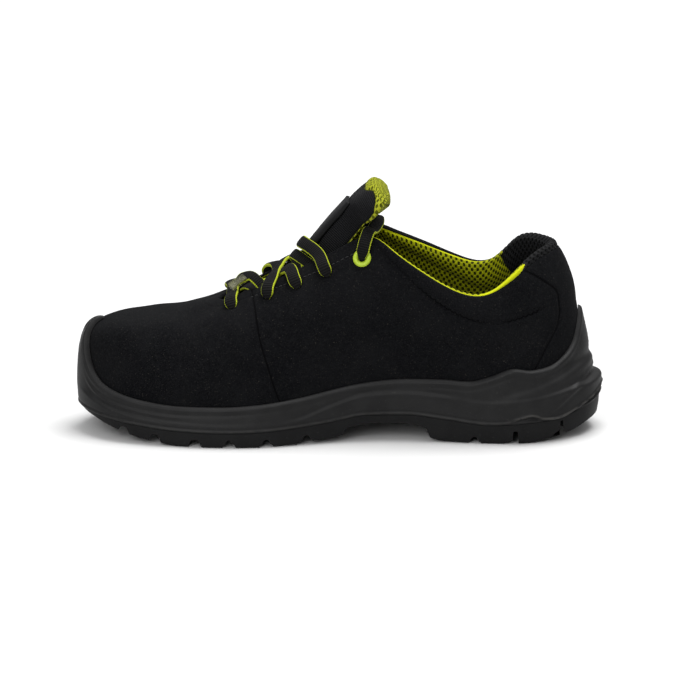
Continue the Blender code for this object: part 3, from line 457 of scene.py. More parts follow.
def rib_runs(place):
    """Lengths along each rib's curve at even shares."""
    fine = np.linspace(0.0, 1.0, RIB_SAMPLES)
    points = skin(place[:, None] + 0.0 * fine[None], fine[None] + 0.0 * place[:, None])
    steps = np.linalg.norm(np.diff(points, axis=1), axis=-1)
    return fine, np.concatenate([np.zeros((len(place), 1)), np.cumsum(steps, axis=1)], axis=1)


def shares_below(place, below):
    """Shares of each rib's curve at distances below the edge of the opening."""
    fine, run = rib_runs(place)
    return np.array([np.interp(row[-1] - down, row, fine) for row, down in zip(run, below)])


def share_at_height(place, height):
    low = np.zeros_like(place)
    high = np.ones_like(place)
    for _ in range(HALVINGS):
        middle = 0.5 * (low + high)
        below = skin(place, middle)[..., 2] < height
        low = np.where(below, middle, low)
        high = np.where(below, high, middle)
    return 0.5 * (low + high)


pad_depth = curve(PADS, "depth")
pad_fill = curve(PADS, "fill")
strip_start = (curve(STRIPS, "inner"), curve(STRIPS, "outer"))


def pad_shape(place, below):
    """How full the collar padding is at a distance below the edge of the opening."""
    rib = rib_place(place)
    down = below / pad_depth(rib)
    turn = np.pi * np.clip(PAD_START + (1.0 - PAD_START) * down, 0.0, 1.0)
    return pad_fill(rib) * np.maximum(np.where(down < 1.0, np.sin(turn), 0.0), 0.0)


def spread(step, start):
    """Places once round the shoe, a given step apart at half height; step is a function of the rib."""
    fine = np.linspace(start, start + LOOP, ROUND_SAMPLES)
    gaps = np.linalg.norm(np.diff(skin(fine, HALF_WAY_UP + 0.0 * fine), axis=0), axis=-1)
    amount = np.concatenate([[0.0], np.cumsum(gaps / step(rib_place(0.5 * (fine[1:] + fine[:-1]))))])
    count = 2 * int(round(0.5 * amount[-1]))
    return np.interp(np.arange(count) * amount[-1] / count, amount, fine)


def wall(place, below):
    """Outer and inner faces of the upper and the outward direction, at distances below its edge."""
    share = shares_below(place, below)
    around = place[:, None] + 0.0 * share
    full = pad_shape(around, below)[..., None]
    normal = skin_normal(around, share)
    outer = skin(around, share) + normal * COLLAR_PUFF * full
    inner = outer - normal * (WALL + (COLLAR_PUFF + COLLAR_PAD) * full)
    return outer, inner, normal


def edge_arc(place):
    """The rounded edge of the opening: its middle, its half width, its rise and its length."""
    outer, inner, _ = wall(place, np.tile([0.0, EDGE_DEPTH], (len(place), 1)))
    middle = 0.5 * (outer[:, 0] + inner[:, 0])
    half = 0.5 * (outer[:, 0] - inner[:, 0])
    width = np.linalg.norm(half, axis=-1, keepdims=True)
    rise = unit(outer[:, 0] - outer[:, 1]) * width * EDGE_RISE
    return middle, half, rise, (EDGE_ARC * width)[:, 0]


def profile(place, run):
    """Points and facing at a run over the edge: below zero outside, then round it and down the inside."""
    middle, half, rise, arc = edge_arc(place)
    outer, _, facing = wall(place, np.maximum(-run, 0.0))
    _, inner, facing_in = wall(place, np.maximum(run - arc[:, None], 0.0))
    turn = (np.clip(run / arc[:, None], 0.0, 1.0) * np.pi)[..., None]
    round_way = half[:, None] * np.cos(turn) + rise[:, None] * np.sin(turn)
    outside = (run <= 0.0)[..., None]
    inside = (run >= arc[:, None])[..., None]
    points = np.where(outside, outer, np.where(inside, inner, middle[:, None] + round_way))
    way = np.where(outside, facing, np.where(inside, -facing_in, unit(round_way)))
    return points, way


def lining_start(place):
    """Run over the edge at which the lining begins: at the collar's edge, and past the edge in the throat."""
    rib = rib_place(place)
    throat = within(rib, THROAT)
    collar = np.where(on_inner_side(place), strip_start[0](rib), strip_start[1](rib))
    return (1.0 - throat) * collar + throat * THROAT_TUCK * edge_arc(place)[3]


def ring_faces(rows, count, closed):
    """Quads between rings of count points each; a closed set of rings joins the last to the first."""
    row = np.arange(rows if closed else rows - 1)[:, None]
    i = np.arange(count)[None]
    k = (i + 1) % count
    below = row * count
    above = ((row + 1) % rows) * count
    return np.stack([below + i, below + k, above + k, above + i], axis=-1).reshape(-1, 4)


def tube_faces(rows, count, start=0):
    """Faces of a stack of rings, with a flat face at each end."""
    last = start + (rows - 1) * count
    sides = (ring_faces(rows, count, False) + start).tolist()
    return sides + [list(range(start, start + count)), list(range(last, last + count))]


def span_faces(start, count):
    """Faces that span a ring of columns from its inner to its outer side."""
    last = count // 2
    faces = [
        (start + i, start + i + 1, start + count - i - 1, start + count - i) for i in range(1, last - 1)
    ]
    return faces + [(start, start + 1, start + count - 1), (start + last - 1, start + last, start + last + 1)]


def sole_faces(rows, count):
    """Faces of a stack of rings round the shoe, spanned across at both ends."""
    last = (rows - 1) * count
    return ring_faces(rows, count, False).tolist() + span_faces(0, count) + span_faces(last, count)


def ring_sides(count, start=0.0):
    """Cosines and sines once round a ring."""
    angle = TURN * (np.arange(count) + start) / count
    return np.cos(angle), np.sin(angle)


def turn_out(mesh):
    """Turns every face of a closed mesh outwards."""
    work = bmesh.new()
    work.from_mesh(mesh)
    bmesh.ops.recalc_face_normals(work, faces=work.faces)
    work.to_mesh(mesh)
    work.free()


def make_piece(name, points, faces, looks, slot, pick=None, weave=None, values=None, sharp=None):
    """A named mesh that rides on the shoe, from points in millimetres."""
    mesh = bpy.data.meshes.new(name)
    listed = faces.tolist() if isinstance(faces, np.ndarray) else [list(face) for face in faces]
    mesh.from_pydata((np.asarray(points) * MM).tolist(), [], listed)
    turn_out(mesh)
    for look in looks:
        mesh.materials.append(look)
    if pick is not None:
        mesh.polygons.foreach_set("material_index", np.asarray(pick, np.int32))
    if weave is not None:
        corner = np.zeros(len(mesh.loops), np.int32)
        mesh.loops.foreach_get("vertex_index", corner)
        layer = mesh.uv_layers.new(name="weave")
        layer.data.foreach_set("uv", np.asarray(weave, np.float32)[corner].ravel())
    for label, amounts in (values or {}).items():
        spots = mesh.attributes.new(label, "FLOAT", "POINT")
        spots.data.foreach_set("value", np.asarray(amounts, np.float32))
    thing = bpy.data.objects.new(name, mesh)
    bpy.context.scene.collection.objects.link(thing)
    mesh.polygons.foreach_set("use_smooth", np.ones(len(mesh.polygons), bool))
    if sharp is not None:
        mesh.set_sharp_from_angle(angle=math.radians(sharp))
    if slot is not None:
        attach(thing, "root")
    return thing


def cutter(points, faces):
    return make_piece("cutter", points, faces, [], None)


def cut(base, tools):
    """Cuts each tool out of base and removes the tools."""
    for tool in tools:
        step = base.modifiers.new("step", "BOOLEAN")
        step.operation = "DIFFERENCE"
        step.solver = "MANIFOLD"
        step.object = tool
    graph = bpy.context.evaluated_depsgraph_get()
    result = bpy.data.meshes.new_from_object(base.evaluated_get(graph))
    base.modifiers.clear()
    old = base.data
    base.data = result
    bpy.data.meshes.remove(old)
    for tool in tools:
        bpy.data.objects.remove(tool, do_unlink=True)


class Finish:
    """A node material built up step by step; tones are linear red, green and blue."""

    def __init__(self, name, roughness, specular):
        self.material = bpy.data.materials.new(name)
        self.material.use_nodes = True
        self.tree = self.material.node_tree
        self.shader = self.tree.nodes["Principled BSDF"]
        self.set("Roughness", roughness)
        self.set("Specular IOR Level", specular)
        self.spot = self.add("TexCoord").outputs["Object"]
        self.normal = None

    def set(self, name, value):
        self.feed(self.shader.inputs[name], value)

    def feed(self, socket, value):
        if isinstance(value, bpy.types.NodeSocket):
            self.tree.links.new(value, socket)
        else:
            socket.default_value = (*value, 1.0) if isinstance(value, tuple) else value

    def add(self, kind, inputs=None, **settings):
        """A node of a kind with its settings, its inputs fed by sockets or plain values."""
        step = self.tree.nodes.new("ShaderNode" + kind)
        for name, value in settings.items():
            setattr(step, name, value)
        for key, value in (inputs or {}).items():
            self.feed(step.inputs[key], value)
        return step

    def math(self, operation, first, second=0.0):
        return self.add("Math", {0: first, 1: second}, operation=operation).outputs[0]

    def times(self, first, second):
        return self.math("MULTIPLY", first, second)

    def plus(self, first, second):
        return self.math("ADD", first, second)

    def rest(self, share):
        return self.math("SUBTRACT", 1.0, share)

    def noise(self, scale, detail):
        return self.add("TexNoise", {"Vector": self.spot, "Scale": scale, "Detail": detail}).outputs["Fac"]

    def band(self, value, low, high):
        limits = {"Value": value, "From Min": low, "From Max": high}
        return self.add("MapRange", limits, interpolation_type="SMOOTHSTEP").outputs["Result"]

    def line(self, gap, near, far):
        """One on a line, up to near, falling to zero at far from it."""
        return self.rest(self.band(self.math("ABSOLUTE", gap), near, far))

    def blend(self, share, first, second):
        return self.add("Mix", {0: share, 6: first, 7: second}, data_type="RGBA").outputs[2]

    def mottle(self, value, tones, low=0.3, high=0.7):
        """From the first tone to the second as the value goes from low to high."""
        return self.blend(self.band(value, low, high), *tones)

    def cover(self, colour, share, amount, tone):
        """A tone laid over a colour, no thicker than the amount."""
        return self.blend(self.times(share, amount), colour, tone)

    def colour(self, socket):
        self.set("Base Color", socket)

    def bump(self, height, distance, strength):
        inputs = {"Distance": distance * MM, "Strength": strength, "Height": height}
        if self.normal is not None:
            inputs["Normal"] = self.normal
        self.normal = self.add("Bump", inputs).outputs["Normal"]
        self.set("Normal", self.normal)

    def value(self, name):
        return self.add("Attribute", attribute_name=name).outputs["Fac"]

    def weave(self):
        """Lengths in millimetres along and across the cloth."""
        source = self.add("UVMap", uv_map="weave")
        parts = self.add("SeparateXYZ", {0: source.outputs["UV"]})
        return parts.outputs[0], parts.outputs[1]

    def wave(self, run, pitch):
        return self.math("COSINE", self.times(run, 2.0 * math.pi / pitch))

    def lattice(self, along, down):
        return self.times(self.wave(along, MESH_ALONG), self.wave(down, MESH_DOWN))

    def sheen(self, weight, roughness=0.5):
        self.set("Sheen Weight", weight)
        self.set("Sheen Roughness", roughness)


PUCKER_PITCH = 3.4
MESH_ALONG = 3.3
MESH_DOWN = 4.2
LACE_PITCH = 1.25
BINDING = 0.6
BINDING_END = 3.4
BINDING_LIGHT = 1.5
YARN_DULL = 0.62
# Share of the thread tone kept deep inside the shoe: painted shade
PAINTED_DEPTH_SHADE = 0.25
SUEDE_VALUES = ("vamp_gap", "heel_gap", "stay", "collar_gap", "collar_run", "collar_part")
SUEDE_TONES = ((0.0017, 0.00182, 0.0023), (0.0036, 0.00372, 0.0042))
NAP_TONE = (0.0074, 0.0077, 0.0084)
FIBRE_TONE = (0.0084, 0.0087, 0.0095)
SPECK_TONE = (0.032, 0.029, 0.025)
SEAM_TONE = (0.0008, 0.0008, 0.001)
GREEN_THREAD = (0.27, 0.29, 0.003)
GREEN_HOLLOW = (0.016, 0.018, 0.0003)
BLACK_THREAD = (0.0075, 0.0075, 0.0082)
BLACK_HOLLOW = (0.0006, 0.0006, 0.0007)
PANEL_TONES = ((0.0012, 0.0012, 0.0015), (0.0072, 0.0072, 0.0082))
ROLL_TONES = ((0.18, 0.194, 0.009), (0.28, 0.30, 0.016))
ROLL_HOLLOW = (0.035, 0.040, 0.0015)
HEM_TONE = (0.003, 0.003, 0.0032)
LABEL_TONES = ((0.0042, 0.0042, 0.0048), (0.0066, 0.0066, 0.0073))
LABEL_EDGE_SHADE = (0.0006, 0.0006, 0.0007)
LACE_BLACK_TONES = ((0.0018, 0.0018, 0.0019), (0.0058, 0.0056, 0.0055))
LACE_LIME_TONES = ((0.22, 0.27, 0.006), (0.44, 0.50, 0.02))
EYELET_TONES = ((0.27, 0.37, 0.008), (0.32, 0.43, 0.012))
THREAD_TONES = ((0.004, 0.004, 0.0045), (0.007, 0.007, 0.0075))
SLEEVE_TONES = ((0.16, 0.16, 0.10), (0.26, 0.26, 0.17))
SLEEVE_SIDE = (0.16, 0.17, 0.02)
MIDSOLE_TONES = ((0.0074, 0.0074, 0.0076), (0.0106, 0.0106, 0.0108))
OUTSOLE_TONES = ((0.0046, 0.0046, 0.0048), (0.0066, 0.0066, 0.0068))
DUST_TONE = (0.05, 0.049, 0.046)
# Tone of the painted highlight along the midsole's ridges
PAINTED_HIGHLIGHT_TONE = (0.06, 0.058, 0.054)
BED_TONES = ((0.006, 0.006, 0.006), (0.016, 0.016, 0.016))
FLOOR_TONES = ((0.56, 0.56, 0.56), (0.57, 0.57, 0.57))


def shaded(tone, share):
    return tuple(share * part for part in tone)


def suede_look():
    look = Finish("suede", roughness=0.95, specular=0.03)
    nap = look.noise(scale=420.0, detail=3.0)
    fine = look.noise(scale=1700.0, detail=2.0)
    specks = look.noise(scale=1500.0, detail=1.0)
    colour = look.mottle(look.noise(scale=38.0, detail=3.0), SUEDE_TONES, 0.33, 0.68)
    colour = look.cover(colour, look.band(nap, 0.45, 0.75), 0.35, NAP_TONE)
    colour = look.cover(colour, look.band(fine, 0.4, 0.66), 0.5, FIBRE_TONE)
    colour = look.cover(colour, look.band(specks, 0.68, 0.75), 0.75, SPECK_TONE)
    # The collar seam is a dark stitched line; its scalloped darkening under the pad's edge is painted shade
    turn = look.times(look.value("collar_run"), math.pi / PUCKER_PITCH)
    hem = look.math("ABSOLUTE", look.math("SINE", turn))
    sway = look.plus(look.value("collar_gap"), hem)
    thread = look.line(look.plus(sway, -THREAD_PLACE), *THREAD_EDGES)
    line = look.math("MAXIMUM", look.value("stay"), look.times(thread, look.value("collar_part")))
    for seam in DARK_SEAMS:
        off = look.plus(look.value(seam.gap), seam.middle)
        dark = look.line(off, DARK_CORE * seam.half, seam.half)
        line = look.math("MAXIMUM", line, look.times(dark, seam.share))
    look.colour(look.cover(colour, line, 0.85, SEAM_TONE))
    look.bump(fine, distance=0.35, strength=0.45)
    look.bump(nap, distance=0.5, strength=0.25)
    look.bump(look.rest(line), distance=0.5, strength=0.5)
    look.sheen(0.012)
    return look.material


def air_mesh_look(name, thread, hollow, specular):
    look = Finish(name, roughness=0.7, specular=specular)
    along, down = look.weave()
    meshed = look.value("meshed")
    hole = look.times(look.band(look.lattice(along, down), -0.05, 0.4), meshed)
    yarn = look.noise(scale=1300.0, detail=2.0)
    colour = look.mottle(yarn, (shaded(thread, YARN_DULL), thread), 0.3, 0.65)
    colour = look.blend(meshed, shaded(thread, BINDING_LIGHT), colour)
    # painted shade: the air mesh darkens with depth below the edge, where the inside of the shoe lies in
    # shade
    colour = look.cover(colour, look.band(down, 9.0, 30.0), 0.6, shaded(thread, PAINTED_DEPTH_SHADE))
    look.colour(look.blend(hole, colour, hollow))
    look.bump(look.rest(hole), distance=0.8, strength=0.7)
    look.bump(yarn, distance=0.25, strength=0.5)
    look.sheen(0.02)
    return look.material


def tongue_look():
    """Ribbed black cloth on the front panel and green air mesh on the roll around it."""
    look = Finish("tongue_cloth", roughness=0.72, specular=0.07)
    along, down = look.weave()
    pattern = look.plus(look.wave(down, 1.15), look.times(look.wave(along, 0.9), 0.35))
    panel = look.mottle(pattern, PANEL_TONES, -0.9, 1.1)
    hole = look.band(look.lattice(along, down), 0.0, 0.4)
    mesh = look.mottle(look.noise(scale=1300.0, detail=2.0), ROLL_TONES, 0.3, 0.65)
    mesh = look.cover(mesh, hole, 0.9, ROLL_HOLLOW)
    inside = look.value("panel")
    share = look.band(inside, -0.15, 0.15)
    colour = look.blend(share, mesh, panel)
    look.colour(look.cover(colour, look.line(inside, 0.15, 0.6), 0.8, HEM_TONE))
    ribs = look.times(share, look.times(pattern, 0.3))
    look.bump(look.plus(ribs, look.times(look.rest(share), look.rest(hole))), distance=0.8, strength=0.6)
    look.sheen(0.015, 0.4)
    return look.material


def label_look():
    look = Finish("label", roughness=0.5, specular=0.12)
    grain = look.noise(scale=1800.0, detail=2.0)
    flat = look.mottle(grain, LABEL_TONES)
    # painted shade: the label darkens towards its rounded border
    look.colour(look.mottle(look.value("rim"), (LABEL_EDGE_SHADE, flat), 0.55, 0.95))
    look.bump(grain, distance=0.12, strength=0.4)
    return look.material


def lace_look(name, tones, specular):
    look = Finish(name, roughness=0.68, specular=specular)
    along, around = look.weave()
    twist = look.wave(look.plus(along, look.times(around, 0.6)), 0.55)
    pattern = look.plus(look.wave(along, LACE_PITCH), look.times(twist, 0.4))
    look.colour(look.mottle(pattern, tones, -1.0, 1.2))
    look.bump(pattern, distance=0.2, strength=0.45)
    look.sheen(0.02)
    return look.material


def plastic_look(name, tones, roughness):
    look = Finish(name, roughness, specular=0.5)
    look.colour(look.mottle(look.noise(scale=180.0, detail=3.0), tones))
    look.bump(look.noise(scale=2600.0, detail=2.0), distance=0.05, strength=0.4)
    return look.material


def clear_look():
    look = Finish("clear_sleeve", roughness=0.35, specular=0.2)
    haze = look.noise(scale=700.0, detail=2.0)
    pale = look.mottle(haze, SLEEVE_TONES)
    look.colour(look.mottle(look.value("side"), (pale, SLEEVE_SIDE), 0.7, 0.95))
    look.bump(haze, distance=0.1, strength=0.3)
    look.set("Alpha", 0.2)
    return look.material


def rubber_look(name, tones, roughness, specular):
    look = Finish(name, roughness, specular)
    cloud = look.noise(scale=90.0, detail=3.0)
    colour = look.mottle(cloud, tones, 0.3, 0.72)
    colour = look.cover(colour, look.band(look.noise(scale=900.0, detail=2.0), 0.64, 0.76), 0.22, DUST_TONE)
    # painted highlight: a lighter dotted line along the moulded lip and edge ridges
    highlight_share = look.times(look.value("painted_highlight"), look.band(look.noise(scale=220.0, detail=2.0), 0.3, 0.55))
    look.colour(look.cover(colour, highlight_share, 0.5, PAINTED_HIGHLIGHT_TONE))
    look.set("Roughness", look.plus(look.times(cloud, 0.2), roughness - 0.1))
    look.bump(look.noise(scale=1700.0, detail=2.0), distance=0.12, strength=0.55)
    return look.material


def bed_look():
    look = Finish("insole_cloth", roughness=0.9, specular=0.2)
    weft = look.noise(scale=900.0, detail=2.0)
    look.colour(look.mottle(weft, BED_TONES))
    look.bump(weft, distance=0.3, strength=0.5)
    look.sheen(0.03)
    return look.material


def floor_look():
    look = Finish("floor", roughness=0.9, specular=0.1)
    look.colour(look.mottle(look.noise(scale=3.0, detail=2.0), FLOOR_TONES))
    return look.material


SUEDE = suede_look()
GREEN_MESH = air_mesh_look("green_mesh", GREEN_THREAD, GREEN_HOLLOW, specular=0.05)
BLACK_MESH = air_mesh_look("black_mesh", BLACK_THREAD, BLACK_HOLLOW, specular=0.06)
TONGUE = tongue_look()
LABEL = label_look()
LACE_BLACK = lace_look("lace_black", LACE_BLACK_TONES, specular=0.06)
LACE_LIME = lace_look("lace_lime", LACE_LIME_TONES, specular=0.12)
EYELET = plastic_look("eyelet_plastic", EYELET_TONES, roughness=0.55)
CLEAR = clear_look()
MIDSOLE = rubber_look("midsole_foam", MIDSOLE_TONES, roughness=0.5, specular=0.13)
OUTSOLE = rubber_look("outsole_rubber", OUTSOLE_TONES, roughness=0.55, specular=0.11)
BED = bed_look()
THREAD = plastic_look("thread", THREAD_TONES, roughness=0.8)


def make_camera():
    right = Vector((-1.0, 0.0, 0.0))
    up = Vector((0.0, -math.sin(CAMERA_TILT), math.cos(CAMERA_TILT)))
    toward = Vector((0.0, math.cos(CAMERA_TILT), math.sin(CAMERA_TILT)))
    middle = 0.5 * PHOTO_SIZE
    look = right * ((middle - ORIGIN_U) / PIXELS_PER_METRE) + up * ((ORIGIN_V - middle) / PIXELS_PER_METRE)
    camera = bpy.data.objects.new("camera", bpy.data.cameras.new("camera"))
    camera.data.type = "ORTHO"
    camera.data.ortho_scale = PHOTO_SIZE / PIXELS_PER_METRE
    camera.location = look + toward * CAMERA_AWAY
    camera.rotation_euler = (-toward).to_track_quat("-Z", "Y").to_euler()
    bpy.context.scene.collection.objects.link(camera)
    bpy.context.scene.camera = camera


RIB_LENGTH = 20.0
RISE_LENGTH = 90.0
SEAM_SAMPLES = 420


def seam_path(stops, inner):
    """Points along a seam of the upper, the way across it towards the heel or edge, and the run along it."""
    ribs = np.array([stop.rib for stop in stops])
    rises = np.array([stop.rise for stop in stops])
    chord = run_along(np.stack([ribs * RIB_LENGTH, rises * RISE_LENGTH], axis=-1))
    steps = np.linspace(0.0, chord[-1], SEAM_SAMPLES)
    place = on_side(curve_through(chord, ribs)(steps), inner)
    below = rib_runs(place)[1][:, -1] * (1.0 - curve_through(chord, rises)(steps))
    outer, _, normal = wall(place, below[:, None])
    points = outer[:, 0]
    across = np.cross(normal[:, 0], unit(np.gradient(points, axis=0))) * (1.0 if inner else -1.0)
    return points, across, run_along(points)


def nearest_spots(points, line):
    """Index of the spot of a line that is nearest to each point."""
    tree = KDTree(len(line))
    for k, spot in enumerate(line):
        tree.insert(spot, k)
    tree.balance()
    return np.array([tree.find(point)[1] for point in points])


def seam_gaps(points, stops, inner):
    """Signed distance of points to a seam, and the run along it of the nearest spot."""
    spots, across, along = seam_path(stops, inner)
    nearest = nearest_spots(points, spots)
    offset = points - spots[nearest]
    side = np.sum(offset * across[nearest], axis=-1)
    gap = np.linalg.norm(offset, axis=-1)
    return np.where(side < 0.0, -gap, gap), along[nearest]


def lapped(gap, lap):
    """Height of a panel lapped over its neighbour: a groove, a rise at the seam and a fade beyond it."""
    lift = lap.lift * smooth((gap + lap.start) / lap.span) * np.exp(-np.maximum(gap, 0.0) / lap.fade)
    return lift - lap.groove * bell(gap + lap.place, lap.width)


# Collar line: how it fades in and out along its run, its trough, the swell over it and its ripples
LINE_FADES = (8.0, 9.0)
LINE_FAINT = 0.4
FAINT_RUN = 22.0
FAINT_BLEND = 30.0
TROUGH_WIDTH = 1.15
SWELL = 0.6
SWELL_RUN = 4.5
SWELL_FADE = 6.0
RIPPLE = 0.35
RIPPLE_PLACE = 1.2
RIPPLE_FADE = 1.8
LINE_REACH = 4.0
LINE_BLEND = 1.5

# Stitched line of the eyestay and the soft dents of the suede
STITCH_BELOW = 8.0
STAY_DEPTH = 0.22
STAY_WIDTH = 0.9
STAY_DARK = 0.3
STAY_DARK_WIDTH = 0.5
DENT = 0.16
DENT_BLEND = 12.0
DENT_MORE = 0.6
Wave = namedtuple("Wave", "x y z shift")
DENT_WAVES = table(Wave, (0.13, 0.0, 0.09, 0.8), (-0.05, 0.07, 0.21, 0.0), (0.31, 0.0, -0.17, 0.0))


def collar_line(gap, along):
    """Height of the puckered line under the collar, and how much of the line shows at each place along it."""
    shown = smooth(along / LINE_FADES[0]) * smooth((along.max() - along) / LINE_FADES[1])
    shown = shown * (LINE_FAINT + (1.0 - LINE_FAINT) * smooth((along - FAINT_RUN) / FAINT_BLEND))
    hem = np.abs(np.sin(np.pi * along / PUCKER_PITCH))
    swell = SWELL * smooth(gap / SWELL_RUN) * np.exp(-np.maximum(gap - SWELL_RUN, 0.0) / SWELL_FADE)
    ripple = RIPPLE * (hem - 0.5) * np.exp(-np.abs(gap - RIPPLE_PLACE) / RIPPLE_FADE)
    return shown * (swell - bell(gap + hem - 0.5, TROUGH_WIDTH) + ripple), shown


def suede_relief(points, place, below):
    """Height of seams, puckers and soft dents on the suede, and the distances its lines are drawn from."""
    flat = points.reshape(-1, 3)
    down = below.ravel()
    height = np.zeros(len(flat))
    values = {name: np.zeros(len(flat)) for name in SUEDE_VALUES}
    inner = np.repeat(on_inner_side(place), below.shape[1])
    for side in (True, False):
        mine = inner == side
        spots = flat[mine]
        vamp = -seam_gaps(spots, VAMP_SEAM, side)[0]
        heel = seam_gaps(spots, HEEL_SEAM, side)[0]
        gap, along = seam_gaps(spots, COLLAR_LINE, side)
        pucker, shown = collar_line(gap, along)
        height[mine] += lapped(vamp, VAMP_LAP) + pucker + lapped(heel, HEEL_LAP)
        values["vamp_gap"][mine] = vamp
        values["heel_gap"][mine] = heel
        values["collar_gap"][mine] = gap
        values["collar_run"][mine] = along
        values["collar_part"][mine] = shown * smooth((LINE_REACH - np.abs(gap)) / LINE_BLEND)
    stay = within(np.repeat(rib_place(place), below.shape[1]), STAY)
    height -= stay * STAY_DEPTH * bell(down - STITCH_BELOW, STAY_WIDTH)
    values["stay"] = stay * STAY_DARK * bell(down - STITCH_BELOW, STAY_DARK_WIDTH)
    first, second, third = (np.sin(flat @ np.array(wave[:3]) + wave.shift) for wave in DENT_WAVES)
    height += DENT * (first * second + DENT_MORE * third) * smooth(down / DENT_BLEND)
    return height.reshape(below.shape), {name: part.reshape(below.shape) for name, part in values.items()}


SUEDE_STEP = 1.15
COLLAR_STEP = 0.7
SUEDE_ROWS = 112
SUEDE_THICK = 0.9
BACK_ROWS = 6
EDGE_TURN = 0.5
EDGE_TURN_WIDTH = 0.8


def doubled(front, back):
    """Points of a sheet's front, row by row, then of a few rows of its back, and the order of the rows."""
    rows = front.shape[1]
    picks = np.linspace(rows - 1, 0, BACK_ROWS).astype(int)
    points = np.concatenate([front[:, j] for j in range(rows)] + [back[:, j] for j in picks])
    return points, np.concatenate([np.arange(rows), picks])


def build_suede():
    place = spread(lambda rib: SUEDE_STEP - (SUEDE_STEP - COLLAR_STEP) * within(rib, COLLAR_FINE), LAST_RIB)
    length = rib_runs(place)[1][:, -1:]
    end = lining_start(place)[:, None]
    run = -length + np.linspace(0.0, 1.0, SUEDE_ROWS)[None] * (length + end)
    points, way = profile(place, run)
    height, values = suede_relief(points, place, np.maximum(-run, 0.0))
    height = height - EDGE_TURN * bell(run - end, EDGE_TURN_WIDTH)
    front = points + way * height[..., None]
    back = points - way * (SUEDE_THICK + np.maximum(-height, 0.0))[..., None]
    points, order = doubled(front, back)
    piece = make_piece(
        "upper_suede", points, ring_faces(len(order), len(place), True), [SUEDE], "upper_suede",
        values={name: part[:, order].T.ravel() for name, part in values.items()},
    )
    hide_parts("upper")
    return piece


LINING_DENSE = 46.0
LINING_STEP = 0.62
LINING_FINE = 0.78
LINING_MORE = 3.4
LINING_DEEP_ROWS = 12
LINING_THICK = 0.9
LINING_UNDER_PAD = 1.7
LINING_TURN_WIDTH = 0.7
CREASE_BELOW = 20.0
CREASE_DEPTH = 1.6
CREASE_WIDTH = 1.5
BINDING_BLEND = 0.8
ROLL = 0.45
ROLL_RUN = 7.0
TAB_ROLL = 1.8
TAB_ROLL_START = 3.0
TAB_ROLL_RUN = 32.0
TAB_ROLL_POWER = 0.8
DIMPLE = 0.4
TAB_DIMPLE = 0.5
LINING_HOLE = (-0.1, 0.55)


def mesh_holes(along, down, limits):
    """One in the holes of the air mesh and zero on its threads."""
    lattice = np.cos(TURN * along / MESH_ALONG) * np.cos(TURN * down / MESH_DOWN)
    return smooth((lattice - limits[0]) / limits[1])


def hump(run, length):
    return np.sin(np.pi * np.clip(run / length, 0.0, 1.0))


def tab_edge(limit, down):
    """Rib at which the black heel tab ends: it leans inside and is cut round where the green rolls out."""
    rounded = np.maximum(1.0 - ((down - TAB_ROUND_RUN) / TAB_ROUND_RUN) ** 2, 0.0)
    return limit - HEEL_TAB_LEAN * down - TAB_ROUND * rounded


def build_lining():
    place = spread(lambda rib: LINING_FINE + LINING_MORE * within(rib, LINING_COARSE), LAST_RIB)
    count = len(place)
    start = lining_start(place)
    arc = edge_arc(place)[3]
    last = arc + rib_runs(place)[1][:, -1] - start
    dense = np.arange(0.0, LINING_DENSE, LINING_STEP)
    deep = np.linspace(0.0, 1.0, LINING_DEEP_ROWS + 1)[1:]
    deep_run = LINING_DENSE + deep[None] * (last[:, None] - LINING_DENSE - 1.0)
    down = np.concatenate([np.tile(dense, (count, 1)), deep_run], axis=1)
    run = start[:, None] + down
    points, way = profile(place, run)
    around = run_along(top_edge(place))
    around = around - np.interp(LOOP, place, around)
    rib = rib_place(place)[:, None]
    collar = within(rib, COLLAR)
    inner = on_inner_side(place)[:, None]
    limit = np.where(inner, HEEL_TAB_INNER, HEEL_TAB_OUTER)
    tab = smooth((tab_edge(limit, down) - rib) / TAB_BLEND)
    binding = (BINDING + BINDING_END * inner * within(rib, ROLLED_OUT)) * (1.0 - tab)
    meshed = smooth((down - binding) / BINDING_BLEND)
    hole = mesh_holes(around[:, None], down, LINING_HOLE) * collar * meshed
    height = ROLL * hump(down, ROLL_RUN) * collar
    height = height + TAB_ROLL * tab * hump(down - TAB_ROLL_START, TAB_ROLL_RUN) ** TAB_ROLL_POWER
    height = height - EDGE_TURN * bell(down, LINING_TURN_WIDTH) - DIMPLE * hole * (1.0 + TAB_DIMPLE * tab)
    inside = run - arc[:, None]
    full = pad_shape(place[:, None] + 0.0 * run, np.maximum(inside, 0.0)) * collar
    height = height - CREASE_DEPTH * full * bell(inside - CREASE_BELOW, CREASE_WIDTH) * within(rib, CREASED)
    back = points - way * (LINING_THICK + LINING_UNDER_PAD * full)[..., None]
    points, order = doubled(points + way * height[..., None], back)
    ring_down = down[:, order].T
    return make_piece(
        "upper_lining", points, ring_faces(len(order), count, True), [GREEN_MESH, BLACK_MESH], "upper_suede",
        pick=(rib.T < tab_edge(limit.T, ring_down)).astype(int).ravel(),
        weave=np.stack([np.tile(around, len(order)), ring_down.ravel()], axis=-1),
        values={"meshed": meshed[:, order].T.ravel()},
    )


STITCH_LONG = 2.1
STITCH_PITCH = 3.0
STITCH_RADIUS = 0.24
STITCH_LIFTS = (-0.3, 0.0, 0.1, 0.0, -0.3)
STITCH_SIDES = 8
STITCHED_RIBS = (7.05, 11.3)
STITCH_SAMPLES = 500


